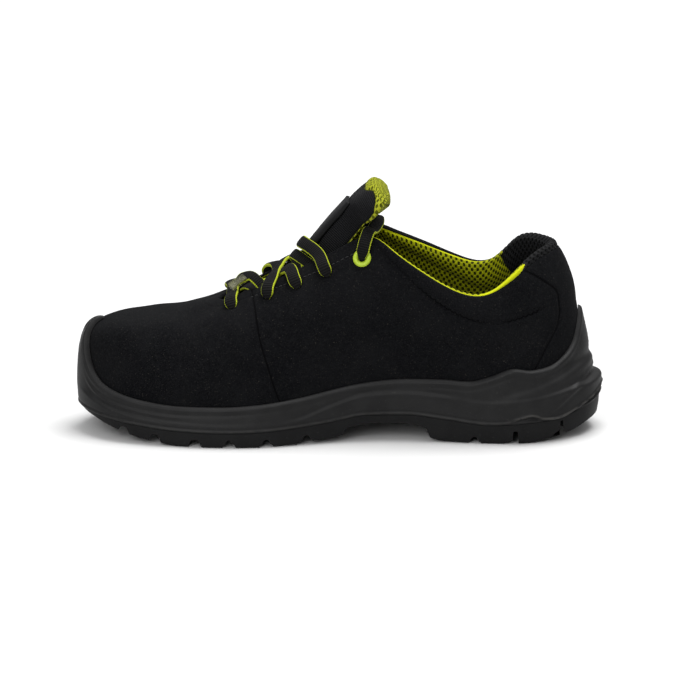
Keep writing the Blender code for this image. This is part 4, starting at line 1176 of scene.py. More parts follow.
def build_stitches():
    """A row of thread stitches along each eyestay, below its edge."""
    wide, high = ring_sides(STITCH_SIDES)
    steps = STITCH_LONG * np.linspace(0.0, 1.0, len(STITCH_LIFTS))
    points = []
    faces = []
    for inner in (True, False):
        place = on_side(np.linspace(*STITCHED_RIBS, STITCH_SAMPLES), inner)
        outer, _, normal = wall(place, np.full((len(place), 1), STITCH_BELOW))
        line = outer[:, 0]
        run = run_along(line)
        for start in np.arange(0.0, run[-1] - STITCH_LONG, STITCH_PITCH):
            picks = np.interp(start + steps, run, np.arange(len(run))).astype(int)
            up = normal[picks, 0]
            across = unit(np.cross(up, line[picks[-1]] - line[picks[0]]))
            faces.extend(tube_faces(len(STITCH_LIFTS), STITCH_SIDES, len(points) * STITCH_SIDES))
            for k, lift in enumerate(STITCH_LIFTS):
                ring = across[k] * wide[:, None] + up[k] * high[:, None]
                points.append(line[picks[k]] + up[k] * lift + STITCH_RADIUS * ring)
    make_piece("eyestay_stitches", np.concatenate(points), faces, [THREAD], "upper_suede")


HOLE_RIBS = (6.0, 12.5)
HOLE_SAMPLES = 1301
HOLE_SIDES = 28
HOLE_REACH = (-8.0, 4.0)


def hole_spots():
    """Middle and outward direction of each lace hole, inner side then outer side."""
    spots = []
    for inner in (True, False):
        place = on_side(np.linspace(*HOLE_RIBS, HOLE_SAMPLES), inner)
        share = shares_below(place, np.full((len(place), 1), HOLE_BELOW_EDGE))[:, 0]
        points = skin(place, share)
        normals = skin_normal(place, share)
        picks = [int(np.argmin(np.abs(points[:, 0] - along))) for along in EYELETS]
        spots.append([(points[k], normals[k]) for k in picks])
    return spots


def turned(centre, axis, outline, sides):
    """Points of rings turned about an axis from an outline of radius and height."""
    first = unit(np.cross(axis, np.array([1.0, 0.0, 0.0])))
    second = np.cross(axis, first)
    wide, high = ring_sides(sides)
    side = first[None] * wide[:, None] + second[None] * high[:, None]
    return np.concatenate([centre + side * radius + axis * height for radius, height in outline])


def punch(piece, spots):
    """Cuts the lace holes through a piece."""
    outline = [(HOLE_RADIUS, height) for height in HOLE_REACH]
    faces = tube_faces(len(outline), HOLE_SIDES)
    cut(piece, [cutter(turned(*spot, outline, HOLE_SIDES), faces) for side in spots for spot in side])


side_lines = {name: curve(SIDES, name) for name in Side._fields[1:]}
rim_height = curve(RIMS, "height")
rim_off = curve(RIMS, "off")
tread_low = curve(TREADS, "low")
tread_off = curve(TREADS, "off")


def off_upper(place, height, off, lean):
    """A point at a height and a distance off the upper; lean 0 goes level, lean 1 square to its face."""
    share = share_at_height(place, height)
    base = skin(place, share)
    base[:, 2] = np.minimum(base[:, 2], height)
    under = (height < foot_edge(place)[:, 2])[:, None]
    base = np.where(under, np.stack([base[:, 0], base[:, 1], height], axis=-1), base)
    way = unit(outward(place) * (1.0 - lean) + skin_normal(place, share) * lean)
    return base + way * np.asarray(off)[:, None]


def resample(rings, rows):
    """Even rows along each column's broken line of rings."""
    share = np.linspace(0.0, 1.0, rows)
    columns = []
    for column in np.stack(rings, axis=1):
        run = run_along(column)
        columns.append(np.stack([np.interp(share * run[-1], run, part) for part in column.T], axis=-1))
    return np.array(columns)


def soften(points, passes):
    """Rounds the corners along each column."""
    for _ in range(passes):
        inside = 0.25 * points[:, :-2] + 0.5 * points[:, 1:-1] + 0.25 * points[:, 2:]
        points = np.concatenate([points[:, :1], inside, points[:, -1:]], axis=1)
    return points


def grid_normal(points):
    """Outward directions of a grid that is closed along its columns."""
    along = np.roll(points, -1, axis=0) - np.roll(points, 1, axis=0)
    return unit(np.cross(np.gradient(points, axis=1), along))


SOLE_STEP = 1.25
TOE_FINER = 0.55
SIDE_ROWS = 84
SOFT_PASSES = 3
RIM_TURNS = (20.0, 45.0, 68.0, 90.0)
RIM_SAMPLES = 3601
RIM_LINE_IN = 0.9
RIM_FADE = (0.6, 0.3, 0.0)
RIM_NECK = 0.6
RIM_NECK_IN = 0.1
RIM_NECK_LEAN = 0.8
EDGE_IN = 0.3
EDGE_BAND = 1.6
EDGE_BULGE = 0.2
LEDGE_HALF = 0.9
CUP_SHARES = (0.75, 0.5, 0.25)
MIDSOLE_SHARP = 50.0

# Swell under the heel fold and the fine ribs of the heel cup
FOLD_TOP = 1.6
FOLD_BLEND = 4.2
FOLD_FADE = 9.0
CUP_RIB = 0.1
CUP_RIB_PITCH = 2.3
CUP_FOOT = 47.0
CUP_FOOT_BLEND = 3.0
CUP_UNDER_RIM = 4.0
CUP_RIM_BLEND = 2.0

# Wall of the midsole from its ledge to its rim: height, share of the shelf's reach, hollows and lean
Level = namedtuple("Level", "up shelf hollow dip lean")
WALL_LEVELS = table(
    Level, (0.2, 0.8, 0.1, 0.0, 0.15), (0.4, 0.55, 0.1, 0.0, 0.3), (0.6, 0.3, 0.0, 0.2, 0.5),
    (0.78, 0.1, 0.0, 0.4, 0.6),
)


def rim_gaps(points):
    """Distance of points of the midsole's side from the line along the top of its rim."""
    fine = np.linspace(0.0, LOOP, RIM_SAMPLES)[:-1]
    rib = rib_place(fine)
    line = off_upper(fine, rim_height(rib), rim_off(rib) - RIM_LINE_IN, 1.0)
    flat = points.reshape(-1, 3)
    return np.linalg.norm(flat - line[nearest_spots(flat, line)], axis=-1).reshape(points.shape[:-1])


def sole_relief(rib, points, edge, rim):
    """Height of the beads, lips, folds and ribs moulded in the midsole's side, and where a painted highlight
    lies along its ridges.
    """
    z = points[..., 2]
    over = z - edge
    under = rim_gaps(points)
    fold, crease, ridge, lip = (
        z - curve(lines, "height")(rib) for lines in (HEEL_FOLD, HEEL_CREASE, KICK_RIDGE, HEEL_LIP)
    )
    flank = within(rib, FLANK)
    lipped = within(rib, LIPPED)
    swell = smooth((FOLD_TOP - fold) / FOLD_BLEND) * np.exp(np.minimum(fold, 0.0) / FOLD_FADE)
    cup = smooth((z - CUP_FOOT) / CUP_FOOT_BLEND) * smooth((rim - CUP_UNDER_RIM - z) / CUP_RIM_BLEND)
    height = flank * moulded(under, RIM_BEAD) + within(rib, FRONT) * flank * moulded(under, FRONT_BEAD)
    height += moulded(over, EDGE_BEAD)
    height += within(rib, SHANK) * moulded(z - side_lines["ledge_z"](rib), LEDGE_BEAD)
    height += within(rib, LOW_HEEL) * (swell + moulded(fold, FOLD_HOLLOW))
    height += within(rib, HEEL_BACK) * (moulded(crease, CREASE_HOLLOW) + moulded(ridge, RIDGE_BEAD))
    height += lipped * moulded(lip, LIP_BEAD)
    height += within(rib, CUP_RIBBED) * cup * CUP_RIB * np.cos(TURN * z / CUP_RIB_PITCH)
    painted_highlight = np.maximum(lipped * moulded(lip, LIP_PAINTED_HIGHLIGHT), (1.0 - lipped) * moulded(over, EDGE_PAINTED_HIGHLIGHT))
    return height, painted_highlight


def build_midsole():
    place = spread(lambda rib: SOLE_STEP - TOE_FINER * within(rib, TOE_FINE), LAST_RIB)
    count = len(place)
    rib = rib_place(place)
    edge, edge_out, ledge, ledge_out, shelf = (at(rib) for at in side_lines.values())
    rim = rim_height(rib)
    off = rim_off(rib)
    dip = within(rib, RIM_DIP)
    rings = [
        off_upper(place, edge, edge_out - EDGE_IN, 0.0),
        off_upper(place, edge + EDGE_BAND, edge_out + EDGE_BULGE, 0.0),
        off_upper(place, ledge - LEDGE_HALF, ledge_out, 0.0),
        off_upper(place, ledge + LEDGE_HALF, shelf, 0.0),
    ]
    for level in WALL_LEVELS:
        stand = level.shelf * shelf + (1.0 - level.shelf) * off - level.hollow - level.dip * dip
        rings.append(off_upper(place, ledge + level.up * (rim - ledge), stand, level.lean))
    rings.append(off_upper(place, rim - RIM_ROUND - RIM_NECK, off - RIM_NECK_IN, RIM_NECK_LEAN))
    for turn in np.radians(RIM_TURNS):
        stand = CUP_GAP + (off - CUP_GAP) * np.cos(turn)
        rings.append(off_upper(place, rim - RIM_ROUND * (1.0 - np.sin(turn)), stand, 1.0))
    side = soften(resample(rings, SIDE_ROWS), SOFT_PASSES)
    relief, painted_highlight = sole_relief(rib[:, None] + 0.0 * side[..., 2], side, edge[:, None], rim[:, None])
    fade = np.ones(SIDE_ROWS)
    fade[0] = 0.0
    fade[-len(RIM_FADE):] = RIM_FADE
    side = side + grid_normal(side) * (relief * fade[None])[..., None]
    rows = [side[:, j] for j in range(SIDE_ROWS)]
    for share in np.outer(CUP_SHARES, share_at_height(place, rim)):
        rows.append(skin(place, share) + skin_normal(place, share) * CUP_GAP)
    rows.append(foot_edge(place) + outward(place) * CUP_GAP - UP * CUP_GAP)
    # Where the painted highlight lies on the midsole's side
    highlight_share = np.zeros((len(rows), count))
    highlight_share[:SIDE_ROWS] = painted_highlight.T
    piece = make_piece(
        "midsole_cup", np.concatenate(rows), sole_faces(len(rows), count), [MIDSOLE], "midsole_rubber",
        values={"painted_highlight": highlight_share.ravel()}, sharp=MIDSOLE_SHARP,
    )
    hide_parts("midsole")


GROOVE_REACH = 69.0
GROOVE_FLARE = 1.6
OUTSOLE_STEP = 2.0
OUTSOLE_SHARP = 32.0
TREAD_ROUND = 0.8
TREAD_UP = 0.06
WAIST_UP = 0.45
WAIST_OUT = 0.62


def groove_cutters(groove, place, low):
    """Slanted wedges across the sole, as deep as the groove: one, or one at each side of the middle."""
    half = len(place) // 2 + 1
    line = foot_edge(place[:half])[:, 0]
    order = np.argsort(line)
    ground = float(np.interp(groove.x, line[order], low[:half][order]))
    spans = [(-GROOVE_REACH, GROOVE_REACH)]
    if groove.middle > 0.0:
        inner_start = 0.5 * groove.middle + 2.0 * GROOVE_SHIFT
        spans = [(-GROOVE_REACH, -0.5 * groove.middle), (inner_start, GROOVE_REACH)]
    outline = ((groove.wide * GROOVE_FLARE, -groove.depth), (groove.wide, 0.0), (groove.narrow, groove.depth))
    loop = [(-0.5 * width, height) for width, height in outline]
    loop += [(0.5 * width, height) for width, height in outline[::-1]]
    cutters = []
    for span in spans:
        points = []
        for side in span:
            slide = groove.x + groove.slant * abs(side) / GROOVE_REACH
            points.extend((slide + along, side, ground + height) for along, height in loop)
        cutters.append(cutter(points, tube_faces(2, len(loop))))
    return cutters


def channel_cutter(channel):
    """A straight box along the middle of the tread."""
    half = 0.5 * channel.width
    loop = ((-half, -channel.depth), (half, -channel.depth), (half, channel.depth), (-half, channel.depth))
    ends = (channel.start, channel.end)
    points = [(x, channel.across + across, height) for x in ends for across, height in loop]
    return cutter(points, tube_faces(2, len(loop)))


def build_outsole():
    place = spread(lambda rib: OUTSOLE_STEP + 0.0 * rib, 0.0)
    count = len(place)
    rib = rib_place(place)
    edge = side_lines["edge_z"](rib) - GAP
    out = side_lines["edge_out"](rib) - EDGE_IN - OUTSOLE_INSET
    low = tread_low(rib)
    low_out = tread_off(rib)
    rings = [
        off_upper(place, edge, out, 0.0),
        off_upper(place, low + WAIST_UP * (edge - low), low_out + WAIST_OUT * (out - low_out), 0.0),
        off_upper(place, low + TREAD_UP * (edge - low), low_out, 0.0),
        off_upper(place, low, low_out - TREAD_ROUND, 0.0),
    ]
    faces = sole_faces(len(rings), count)
    piece = make_piece("outsole_tread", np.concatenate(rings), faces, [OUTSOLE], "outsole_rubber")
    tools = [tool for groove in GROOVES for tool in groove_cutters(groove, place, low)]
    cut(piece, tools + [channel_cutter(channel) for channel in CHANNELS])
    piece.data.set_sharp_from_angle(angle=math.radians(OUTSOLE_SHARP))
    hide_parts("outsole")


INSOLE_STEP = 3.0
INSOLE_LIFTS = ((0.0, 0.0), (2.2, 0.0), (3.6, -0.5), (INSOLE_THICK, -1.6), (3.7, -4.0), (3.3, -8.0))


def build_insole():
    place = spread(lambda rib: INSOLE_STEP + 0.0 * rib, 0.0)
    away = outward(place)
    base = foot_edge(place) - away * (WALL + 2.0 * GAP)
    rings = [base + away * shrink + UP * lift for lift, shrink in INSOLE_LIFTS]
    faces = sole_faces(len(rings), len(place))
    piece = make_piece("insole_bed", np.concatenate(rings), faces, [BED], "insole_cloth")
    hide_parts("insole")


lick_spots = np.arange(len(LICKS), dtype=float)
lick = {name: curve_through(lick_spots, np.array(part)) for name, part in zip(Lick._fields, zip(*LICKS))}
LICK_STEP = 0.02
LICK_SAMPLES = 1600
EDGE_THIN = 0.62
SAG_START = 4.6
SAG_BLEND = 1.2
SAG_POWERS = (2.0, 1.5)


def tongue_frame(spot):
    """Middle of the tongue's front at a spot along it, and the direction its front faces."""
    spot = np.asarray(spot, float)
    middle = np.stack([lick["x"](spot), 0.0 * spot, lick["z"](spot)], axis=-1)
    ahead_x, ahead_z = (lick[name](spot + LICK_STEP) - lick[name](spot - LICK_STEP) for name in "xz")
    return middle, unit(np.stack([ahead_z, 0.0 * spot, -ahead_x], axis=-1))


def tongue_point(spot, across, depth):
    """A point of the tongue: across runs from -1 to 1, depth from 0 at the front to 1 at the back."""
    middle, facing = tongue_frame(spot)
    exponent = SAG_POWERS[0] + SAG_POWERS[1] * smooth((spot - SAG_START) / SAG_BLEND)
    back = lick["sag"](spot) * np.abs(across) ** exponent
    back = back + lick["thick"](spot) * (1.0 - EDGE_THIN * across**2) * depth
    return middle + SIDEWAYS * (lick["half"](spot) * across)[..., None] - facing * back[..., None]


TONGUE_AROUND = 190
TONGUE_ROWS = (44, 110)
TONGUE_FOLD = 5.0
TONGUE_POWERS = (0.6, 0.75)
GIRTH_SPOT = 8.0
ROLL_HEIGHT = 1.0
ROLL_BLEND = 3.0
ROLL_DIMPLE = 0.6
ROLL_HOLE = (0.12, 0.5)
HEM_DEPTH = 0.5
HEM_WIDTH = 0.8
DOME_HEIGHT = 5.0
DOME_ROWS = 15
DOME_RUN = 9.0
DOME_DIMPLE = 0.45
DOME_HOLE = (0.2, 0.6)
DOME_SMALLEST = 0.02
PANEL_TOP = 9.05
PANEL_TOP_RISE = 0.75
PANEL_ROUND = 2.0
PANEL_START = 4.6
PANEL_BLEND = 0.8
PANEL_FAR = 8.0
Panel = namedtuple("Panel", "spot angle")
PANEL_EDGE = table(
    Panel, (0.0, -0.5), (5.0, 0.16), (5.8, 0.14), (6.4, 0.09), (7.7, 0.1), (9.0, 0.22), (9.4, 0.46),
    (9.8, 0.75), (10.0, 0.9),
)


def tongue_panel(spots, angle, girth, down):
    """How far inside the ribbed front panel each point of the tongue lies, in millimetres."""
    start = np.interp(spots, *zip(*PANEL_EDGE))
    near = girth[None] - np.interp(start, angle, girth)[:, None]
    far = np.interp(np.pi - start, angle, girth)[:, None] - girth[None]
    side = np.minimum(near, far)
    top_spots = PANEL_TOP + PANEL_TOP_RISE * smooth(2.0 * np.abs(np.cos(angle)))
    top = np.interp(top_spots, spots, down)[None] - down[:, None]
    corner = np.hypot(np.maximum(PANEL_ROUND - side, 0.0), np.maximum(PANEL_ROUND - top, 0.0))
    inside = np.where((side < PANEL_ROUND) & (top < PANEL_ROUND), PANEL_ROUND - corner, np.minimum(side, top))
    return np.clip(np.where((spots < PANEL_START)[:, None], PANEL_FAR, inside), -PANEL_FAR, PANEL_FAR)


def build_tongue():
    low = np.linspace(0.0, TONGUE_FOLD, TONGUE_ROWS[0])[:-1]
    spots = np.concatenate([low, np.linspace(TONGUE_FOLD, LAST_LICK, TONGUE_ROWS[1])])
    angle = -0.5 * np.pi + TURN * np.arange(TONGUE_AROUND) / TONGUE_AROUND
    across = power(np.cos(angle), TONGUE_POWERS[0])
    depth = 0.5 - 0.5 * power(np.sin(angle), TONGUE_POWERS[1])
    grid = spots[:, None] + 0.0 * angle[None]
    points = tongue_point(grid, across[None] + 0.0 * grid, depth[None] + 0.0 * grid)
    middle, _ = tongue_frame(spots)
    down = run_along(middle)
    girth = run_along(tongue_point(0.0 * across + GIRTH_SPOT, across, depth))
    inside = tongue_panel(spots, angle, girth, down)
    hole = mesh_holes(girth[None], down[:, None], ROLL_HOLE)
    height = ROLL_HEIGHT * smooth(-inside / ROLL_BLEND) - np.where(inside < 0.0, ROLL_DIMPLE * hole, 0.0)
    height = height - HEM_DEPTH * bell(inside, HEM_WIDTH)
    height = height * smooth((spots - PANEL_START) / PANEL_BLEND)[:, None]
    normal = grid_normal(points.transpose(1, 0, 2)).transpose(1, 0, 2)
    centre = points.mean(axis=1, keepdims=True)
    flip = np.sign(np.sum(normal * (points - centre), axis=-1).mean())
    points = points + flip * normal * height[..., None]
    axis = unit(middle[-1] - middle[-4])
    heart = points[-1].mean(axis=0)
    rows = list(points)
    weave = [np.stack([girth, 0.0 * girth + run], axis=-1) for run in down]
    panels = list(inside)
    for share in np.linspace(0.0, 1.0, DOME_ROWS)[1:]:
        turn = 0.5 * np.pi * share
        shrink = max(math.cos(turn), DOME_SMALLEST)
        hole = mesh_holes(girth, DOME_RUN * share, DOME_HOLE)
        lift = math.sin(turn) * DOME_HEIGHT - DOME_DIMPLE * hole * math.cos(turn)
        rows.append(heart + (points[-1] - heart) * shrink + axis[None] * lift[:, None])
        weave.append(np.stack([girth * shrink, 0.0 * girth + down[-1] + DOME_RUN * share], axis=-1))
        panels.append(np.full(TONGUE_AROUND, -PANEL_FAR))
    piece = make_piece(
        "tongue_pad", np.concatenate(rows), tube_faces(len(rows), TONGUE_AROUND), [TONGUE], "tongue_cloth",
        weave=np.concatenate(weave), values={"panel": np.concatenate(panels)},
    )
    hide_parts("tongue")


LABEL_SPOTS = (4.2, 7.35)
LABEL_GRID = (60, 41)
LABEL_FOOT = 11.5
LABEL_WIDENS = 2.0
LABEL_STIFF = 0.5
LABEL_SINK = 0.15
LABEL_END = 0.12
LABEL_EDGE = 0.10


def build_label():
    """A bare raised patch with rounded edges on the front of the tongue, flatter across than the tongue."""
    rows, count = LABEL_GRID
    start, stop = LABEL_SPOTS
    spots = np.linspace(start, stop, rows)[:, None]
    share = np.linspace(-1.0, 1.0, count)[None]
    end = smooth((spots - start) / LABEL_END) * smooth((stop - spots) / LABEL_END)
    edge = np.clip((1.0 - np.abs(share)) / LABEL_EDGE, 0.0, 1.0)
    rim = np.sqrt(1.0 - (1.0 - edge) ** 2) * end
    grid = spots + 0.0 * share
    width = LABEL_FOOT + (LABEL_WIDTH - LABEL_FOOT) * smooth((spots - start) / LABEL_WIDENS)
    across = 0.5 * width * share / lick["half"](spots)
    base = tongue_point(grid, across, 0.0 * across)
    front, facing = tongue_frame(grid)
    sag = np.sum((front - base) * facing, axis=-1)
    top = base + facing * (LABEL_LIFT + LABEL_THICK * rim + LABEL_STIFF * sag)[..., None]
    bottom = base + facing * LABEL_SINK
    spot = np.arange(rows * count).reshape(rows, count)
    sheet = np.stack([spot[:-1, :-1], spot[:-1, 1:], spot[1:, 1:], spot[1:, :-1]], axis=-1).reshape(-1, 4)
    border = np.concatenate([spot[0], spot[1:, -1], spot[-1, -2::-1], spot[-2:0:-1, 0]])
    ahead = np.roll(border, -1)
    sides = np.stack([ahead, border, border + spot.size, ahead + spot.size], axis=-1)
    points = np.concatenate([top.reshape(-1, 3), bottom.reshape(-1, 3)])
    faces = np.concatenate([sheet, sheet[:, ::-1] + spot.size, sides])
    # The rim share also darkens the label's border as painted shade
    values = {"rim": np.tile(rim.ravel(), 2)}
    piece = make_piece("label_patch", points, faces, [LABEL], "label_plastic", values=values)
    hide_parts("tongue_label")


EYELET_SIDES = 56
EYELET_TURNS = 16
EYELET_SEAT = 0.25
EYELET_PLAY = 0.1
BARREL_TOP = 0.15


def build_eyelet(name, centre, axis, node):
    """A rolled plastic ring with a barrel through the upper."""
    middle = 0.5 * (EYELET_FLANGE + EYELET_BORE)
    half = 0.5 * (EYELET_FLANGE - EYELET_BORE)
    barrel = HOLE_RADIUS - EYELET_PLAY
    outline = [(EYELET_BORE, -WALL), (barrel, -WALL), (barrel, BARREL_TOP)]
    for turn in np.linspace(0.0, np.pi, EYELET_TURNS + 1):
        outline.append((middle + half * np.cos(turn), EYELET_SEAT + EYELET_HEIGHT * np.sin(turn)))
    points = turned(centre, axis, outline, EYELET_SIDES)
    faces = ring_faces(len(outline), EYELET_SIDES, True)
    piece = make_piece(name, points, faces, [EYELET], "eyelet_plastic")
    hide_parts(node)


LACE_SIDES = 30
LACE_STEP = 0.32
LACE_POWER = 0.8
EDGE_SHARE = 0.8
LACE_RIB = 0.07
EDGE_RIB = 0.25
SIDE_RIB = 0.3
WEAVE_STEP = 0.6


def lace_rings(path, faces_up, width, thick):
    """Rings of a flat oval lace along a path, its weave and which of its faces are the coloured edge."""
    ahead = unit(np.gradient(path, axis=0))
    across = unit(np.cross(ahead, faces_up))
    up = np.cross(across, ahead)
    along = run_along(path)
    wide, high = (power(part, LACE_POWER) for part in ring_sides(LACE_SIDES, 0.5))
    edge = np.abs(wide) > EDGE_SHARE
    rib = LACE_RIB * np.cos(TURN * along / LACE_PITCH)[:, None] * np.where(edge, EDGE_RIB, 1.0)[None]
    reach = (0.5 * width[:, None] + SIDE_RIB * rib) * wide[None]
    rise = (0.5 * thick[:, None] + rib) * high[None]
    rings = path[:, None] + across[:, None] * reach[..., None] + up[:, None] * rise[..., None]
    around = WEAVE_STEP * np.arange(1, LACE_SIDES + 1)
    weave = np.stack([along[:, None] + 0.0 * reach, around[None] + 0.0 * reach], axis=-1)
    return rings, weave, edge & np.roll(edge, -1)


def lace_piece(name, runs, node):
    """One mesh of several lace runs; a run is its path, its up directions, widths and thicknesses."""
    points, faces, pick, weave = [], [], [], []
    start = 0
    for path, ups, width, thick in runs:
        rings, cloth, edge = lace_rings(path, ups, width, thick)
        points.append(rings.reshape(-1, 3))
        weave.append(cloth.reshape(-1, 2))
        faces.extend(tube_faces(len(path), LACE_SIDES, start))
        pick.extend([np.tile(edge.astype(int), len(path) - 1), np.zeros(2, int)])
        start += len(path) * LACE_SIDES
    piece = make_piece(
        name, np.concatenate(points), faces, [LACE_BLACK, LACE_LIME], "lace_cloth", pick=np.concatenate(pick),
        weave=np.concatenate(weave),
    )
    if node is not None:
        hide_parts(node)
    return piece


EDGE_RIBS = (6.5, 13.0)
EDGE_SAMPLES = 800


def edge_point(along, inner):
    """The edge of the opening at a distance along the shoe, on the eyestay."""
    points = top_edge(on_side(np.linspace(*EDGE_RIBS, EDGE_SAMPLES), inner))
    return points[int(np.argmin(np.abs(points[:, 0] - along)))]


def tongue_front(along, lift):
    """A point over the middle of the tongue's front, by distance along the shoe, and the way it faces."""
    fine = np.linspace(0.0, LAST_LICK, LICK_SAMPLES)
    middle, facing = tongue_frame(fine[int(np.argmin(np.abs(lick["x"](fine) - along)))])
    return middle + facing * lift, facing


def from_ends(path):
    """Length along a path from its nearer end."""
    along = run_along(path)
    return np.minimum(along, along[-1] - along)


def hole_knots(spot, up, way, steps):
    """Points of a lace that comes up out of a hole, by steps up out of it and along its way."""
    return [spot + up * rise + way * ahead for rise, ahead in steps]


def ups_along(path, middle_up, first_up, last_up, turn):
    """Up directions along a run: one in the middle, turning to that of each side."""
    y = path[:, 1:2]
    weight = smooth((np.abs(y) - turn[0]) / turn[1])
    return unit(middle_up * (1.0 - weight) + np.where(y > 0.0, first_up[None], last_up[None]) * weight)


# Runs of the lace: how they rise from their holes, cross the eyestays' edges, narrow at the ends and turn
RUN_DIVE = ((-4.5, 0.0), (0.2, -0.9))
RUN_LIP = (0.2, 1.6)
RUN_PULLS = (0.62, 0.25)
RUN_EDGE_LIFTS = (0.1, -0.4)
RUN_TURN = (0.0, 20.0)
DIVE_TURN = (3.0, 4.0)
TAPER_RUN = (4.4, 4.2)
TAPER_WIDTH = 1.8
TAPER_THIN = 0.4
CROSS_STANDS = (0.5, -1.5)
INSIDE_DEEP = -3.4
INSIDE_UNDER = 1.2
INSIDE_SIZE = (6.6, 1.9)
LOOP_LIPS = ((-2.0, 0.0), (0.9, 0.3))
LOOP_AHEAD = 4.2
LOOP_FACING = np.array([[-0.45, 0.0, 0.9]])
LOOP_TURN = (6.0, 16.0)
LOOP_NARROW = 3.9
LOOP_THICKER = 0.3
LOOP_TAPER = (1.5, 6.0)

# Runs inside the eyestays: holes they start and end at, place on the tongue and height over it
Inside = namedtuple("Inside", "start end x rest")
INSIDE_RUNS = table(Inside, (0, 1, 51.0, 1.3), (1, 0, 51.0, 3.3), (2, 3, 24.0, 1.3), (3, 2, 24.0, 3.3))


def outer_run(spots, start, end, middle_x, stand):
    """A run from one lace hole, over both eyestay edges and the tongue, to a hole on the other side."""
    lift = 0.5 * LACE_THICK + LACE_LIFT
    holes = (spots[0][start], spots[1][end])
    middle, facing = tongue_front(middle_x, lift + stand)
    steps = (*RUN_DIVE, (lift + RUN_LIP[0], RUN_LIP[1]))
    edges, ways, ends = [], [], []
    for inner, (spot, up), pull, more in zip((True, False), holes, RUN_PULLS, RUN_EDGE_LIFTS):
        edge = edge_point(pull * spot[0] + (1.0 - pull) * middle_x, inner) + unit(up + UP) * (lift + more)
        edges.append(edge)
        ways.append(unit(edge - spot))
        ends.append(hole_knots(spot, up, ways[-1], steps))
    path = path_through([*ends[0], edges[0], middle, edges[1], *ends[1][::-1]], LACE_STEP)
    left = from_ends(path)
    ups = ups_along(path, facing, holes[0][1], holes[1][1], RUN_TURN)
    dive = (1.0 - smooth((left[:, None] - DIVE_TURN[0]) / DIVE_TURN[1])) * (path[:, 1:2] > 0.0)
    ups = unit(ups * (1.0 - dive) - ways[0] * dive)
    grow = np.sqrt(1.0 - (1.0 - np.clip((left - TAPER_RUN[0]) / TAPER_RUN[1], 0.0, 1.0)) ** 2)
    width = TAPER_WIDTH + (LACE_WIDTH - TAPER_WIDTH) * grow
    return path, ups, width, LACE_THICK - TAPER_THIN * (1.0 - grow)


def inner_run(spots, start, end, middle_x, rest):
    """A run under the eyestays, across the front of the tongue, from one lace hole to the next one up."""
    holes = (spots[0][start], spots[1][end])
    middle, facing = tongue_front(middle_x, rest)
    near, far = (
        edge_point(0.5 * (spot[0] + middle_x), inner) - unit(up + UP) * (WALL + INSIDE_UNDER)
        for inner, (spot, up) in zip((True, False), holes)
    )
    first, last = (spot + up * INSIDE_DEEP for spot, up in holes)
    path = path_through([first, near, middle, far, last], LACE_STEP)
    ups = ups_along(path, facing, holes[0][1], holes[1][1], RUN_TURN)
    width, thick = (np.full(len(path), size) for size in INSIDE_SIZE)
    return path, ups, width, thick


def loop_run(spots):
    """The middle of the lace: out of one top eyelet, over the collar, behind the tongue, into the other."""
    over = 0.5 * LACE_THICK + LACE_LIFT
    seat = 0.5 * LACE_THICK + EYELET_HEIGHT + GAP
    steps = (*LOOP_LIPS, (seat, LOOP_AHEAD))
    holes = (spots[0][TOP_EYELET], spots[1][TOP_EYELET])
    turns, ends = [], []
    for inner, along, (spot, up) in zip((True, False), LOOP_OVER_EDGES, holes):
        turns.append(edge_point(along, inner) + np.array([LOOP_EDGE_BACK, 0.0, over + LOOP_EDGE_LIFT]))
        ends.append(hole_knots(spot, up, unit(turns[-1] - spot), steps))
    high = 0.5 * (turns[0][2] + turns[1][2]) - LOOP_DIP
    near_side, far_side = (np.array([*side, high + LOOP_SIDE_LIFT]) for side in LOOP_SIDES)
    behind = np.array([LOOP_BEHIND, 0.0, high])
    knots = [*ends[0], turns[0], near_side, behind, far_side, turns[1], *ends[1][::-1]]
    path = path_through(knots, LACE_STEP)
    ups = ups_along(path, LOOP_FACING, holes[0][1], holes[1][1], LOOP_TURN)
    grow = smooth((from_ends(path) - LOOP_TAPER[0]) / LOOP_TAPER[1])
    width = LOOP_NARROW + (LACE_WIDTH - LOOP_NARROW) * grow
    return path, ups, width, LACE_THICK + LOOP_THICKER * (1.0 - grow)


def build_loop(spots):
    run = loop_run(spots)
    piece = lace_piece("lace_back_loop", [run], "lace_loop")


def build_laces(spots):
    lace_piece("lace_low_bar", [outer_run(spots, 0, 0, LOW_BAR_X, LACE_STAND)], "lace_bar_low")
    over = outer_run(spots, 1, 2, CROSS_X, LACE_STAND + CROSS_STANDS[0])
    under = outer_run(spots, 2, 1, CROSS_X, LACE_STAND + CROSS_STANDS[1])
    lace_piece("lace_crossing", [over, under], "lace_cross")
    lace_piece("lace_high_bar", [outer_run(spots, 3, 3, HIGH_BAR_X, HIGH_BAR_STAND)], "lace_bar_high")
    lace_piece("lace_inside_runs", [inner_run(spots, *run) for run in INSIDE_RUNS], None)


TIP_SIDES = 40
TIP_STEP = 0.4
TIP_THICK = 3.0
TIP_FACING = np.array([0.3, 0.55, 0.78])
TIP_POWERS = (0.7, 0.8)
TIP_BORE = 0.72
TAIL_START = 0.4
TAIL_POINTS = ((51.0, 7.4, 90.4), (47.6, 9.2, 88.4), (44.6, 10.6, 85.4), (42.4, 11.6, 82.6))
TAIL_FACING = np.array([-0.1, 0.6, 0.79])
TAIL_WIDTHS = (4.2, 2.6)
TAIL_THICKS = (1.8, 0.4)
TAIL_GROWS = 18.0


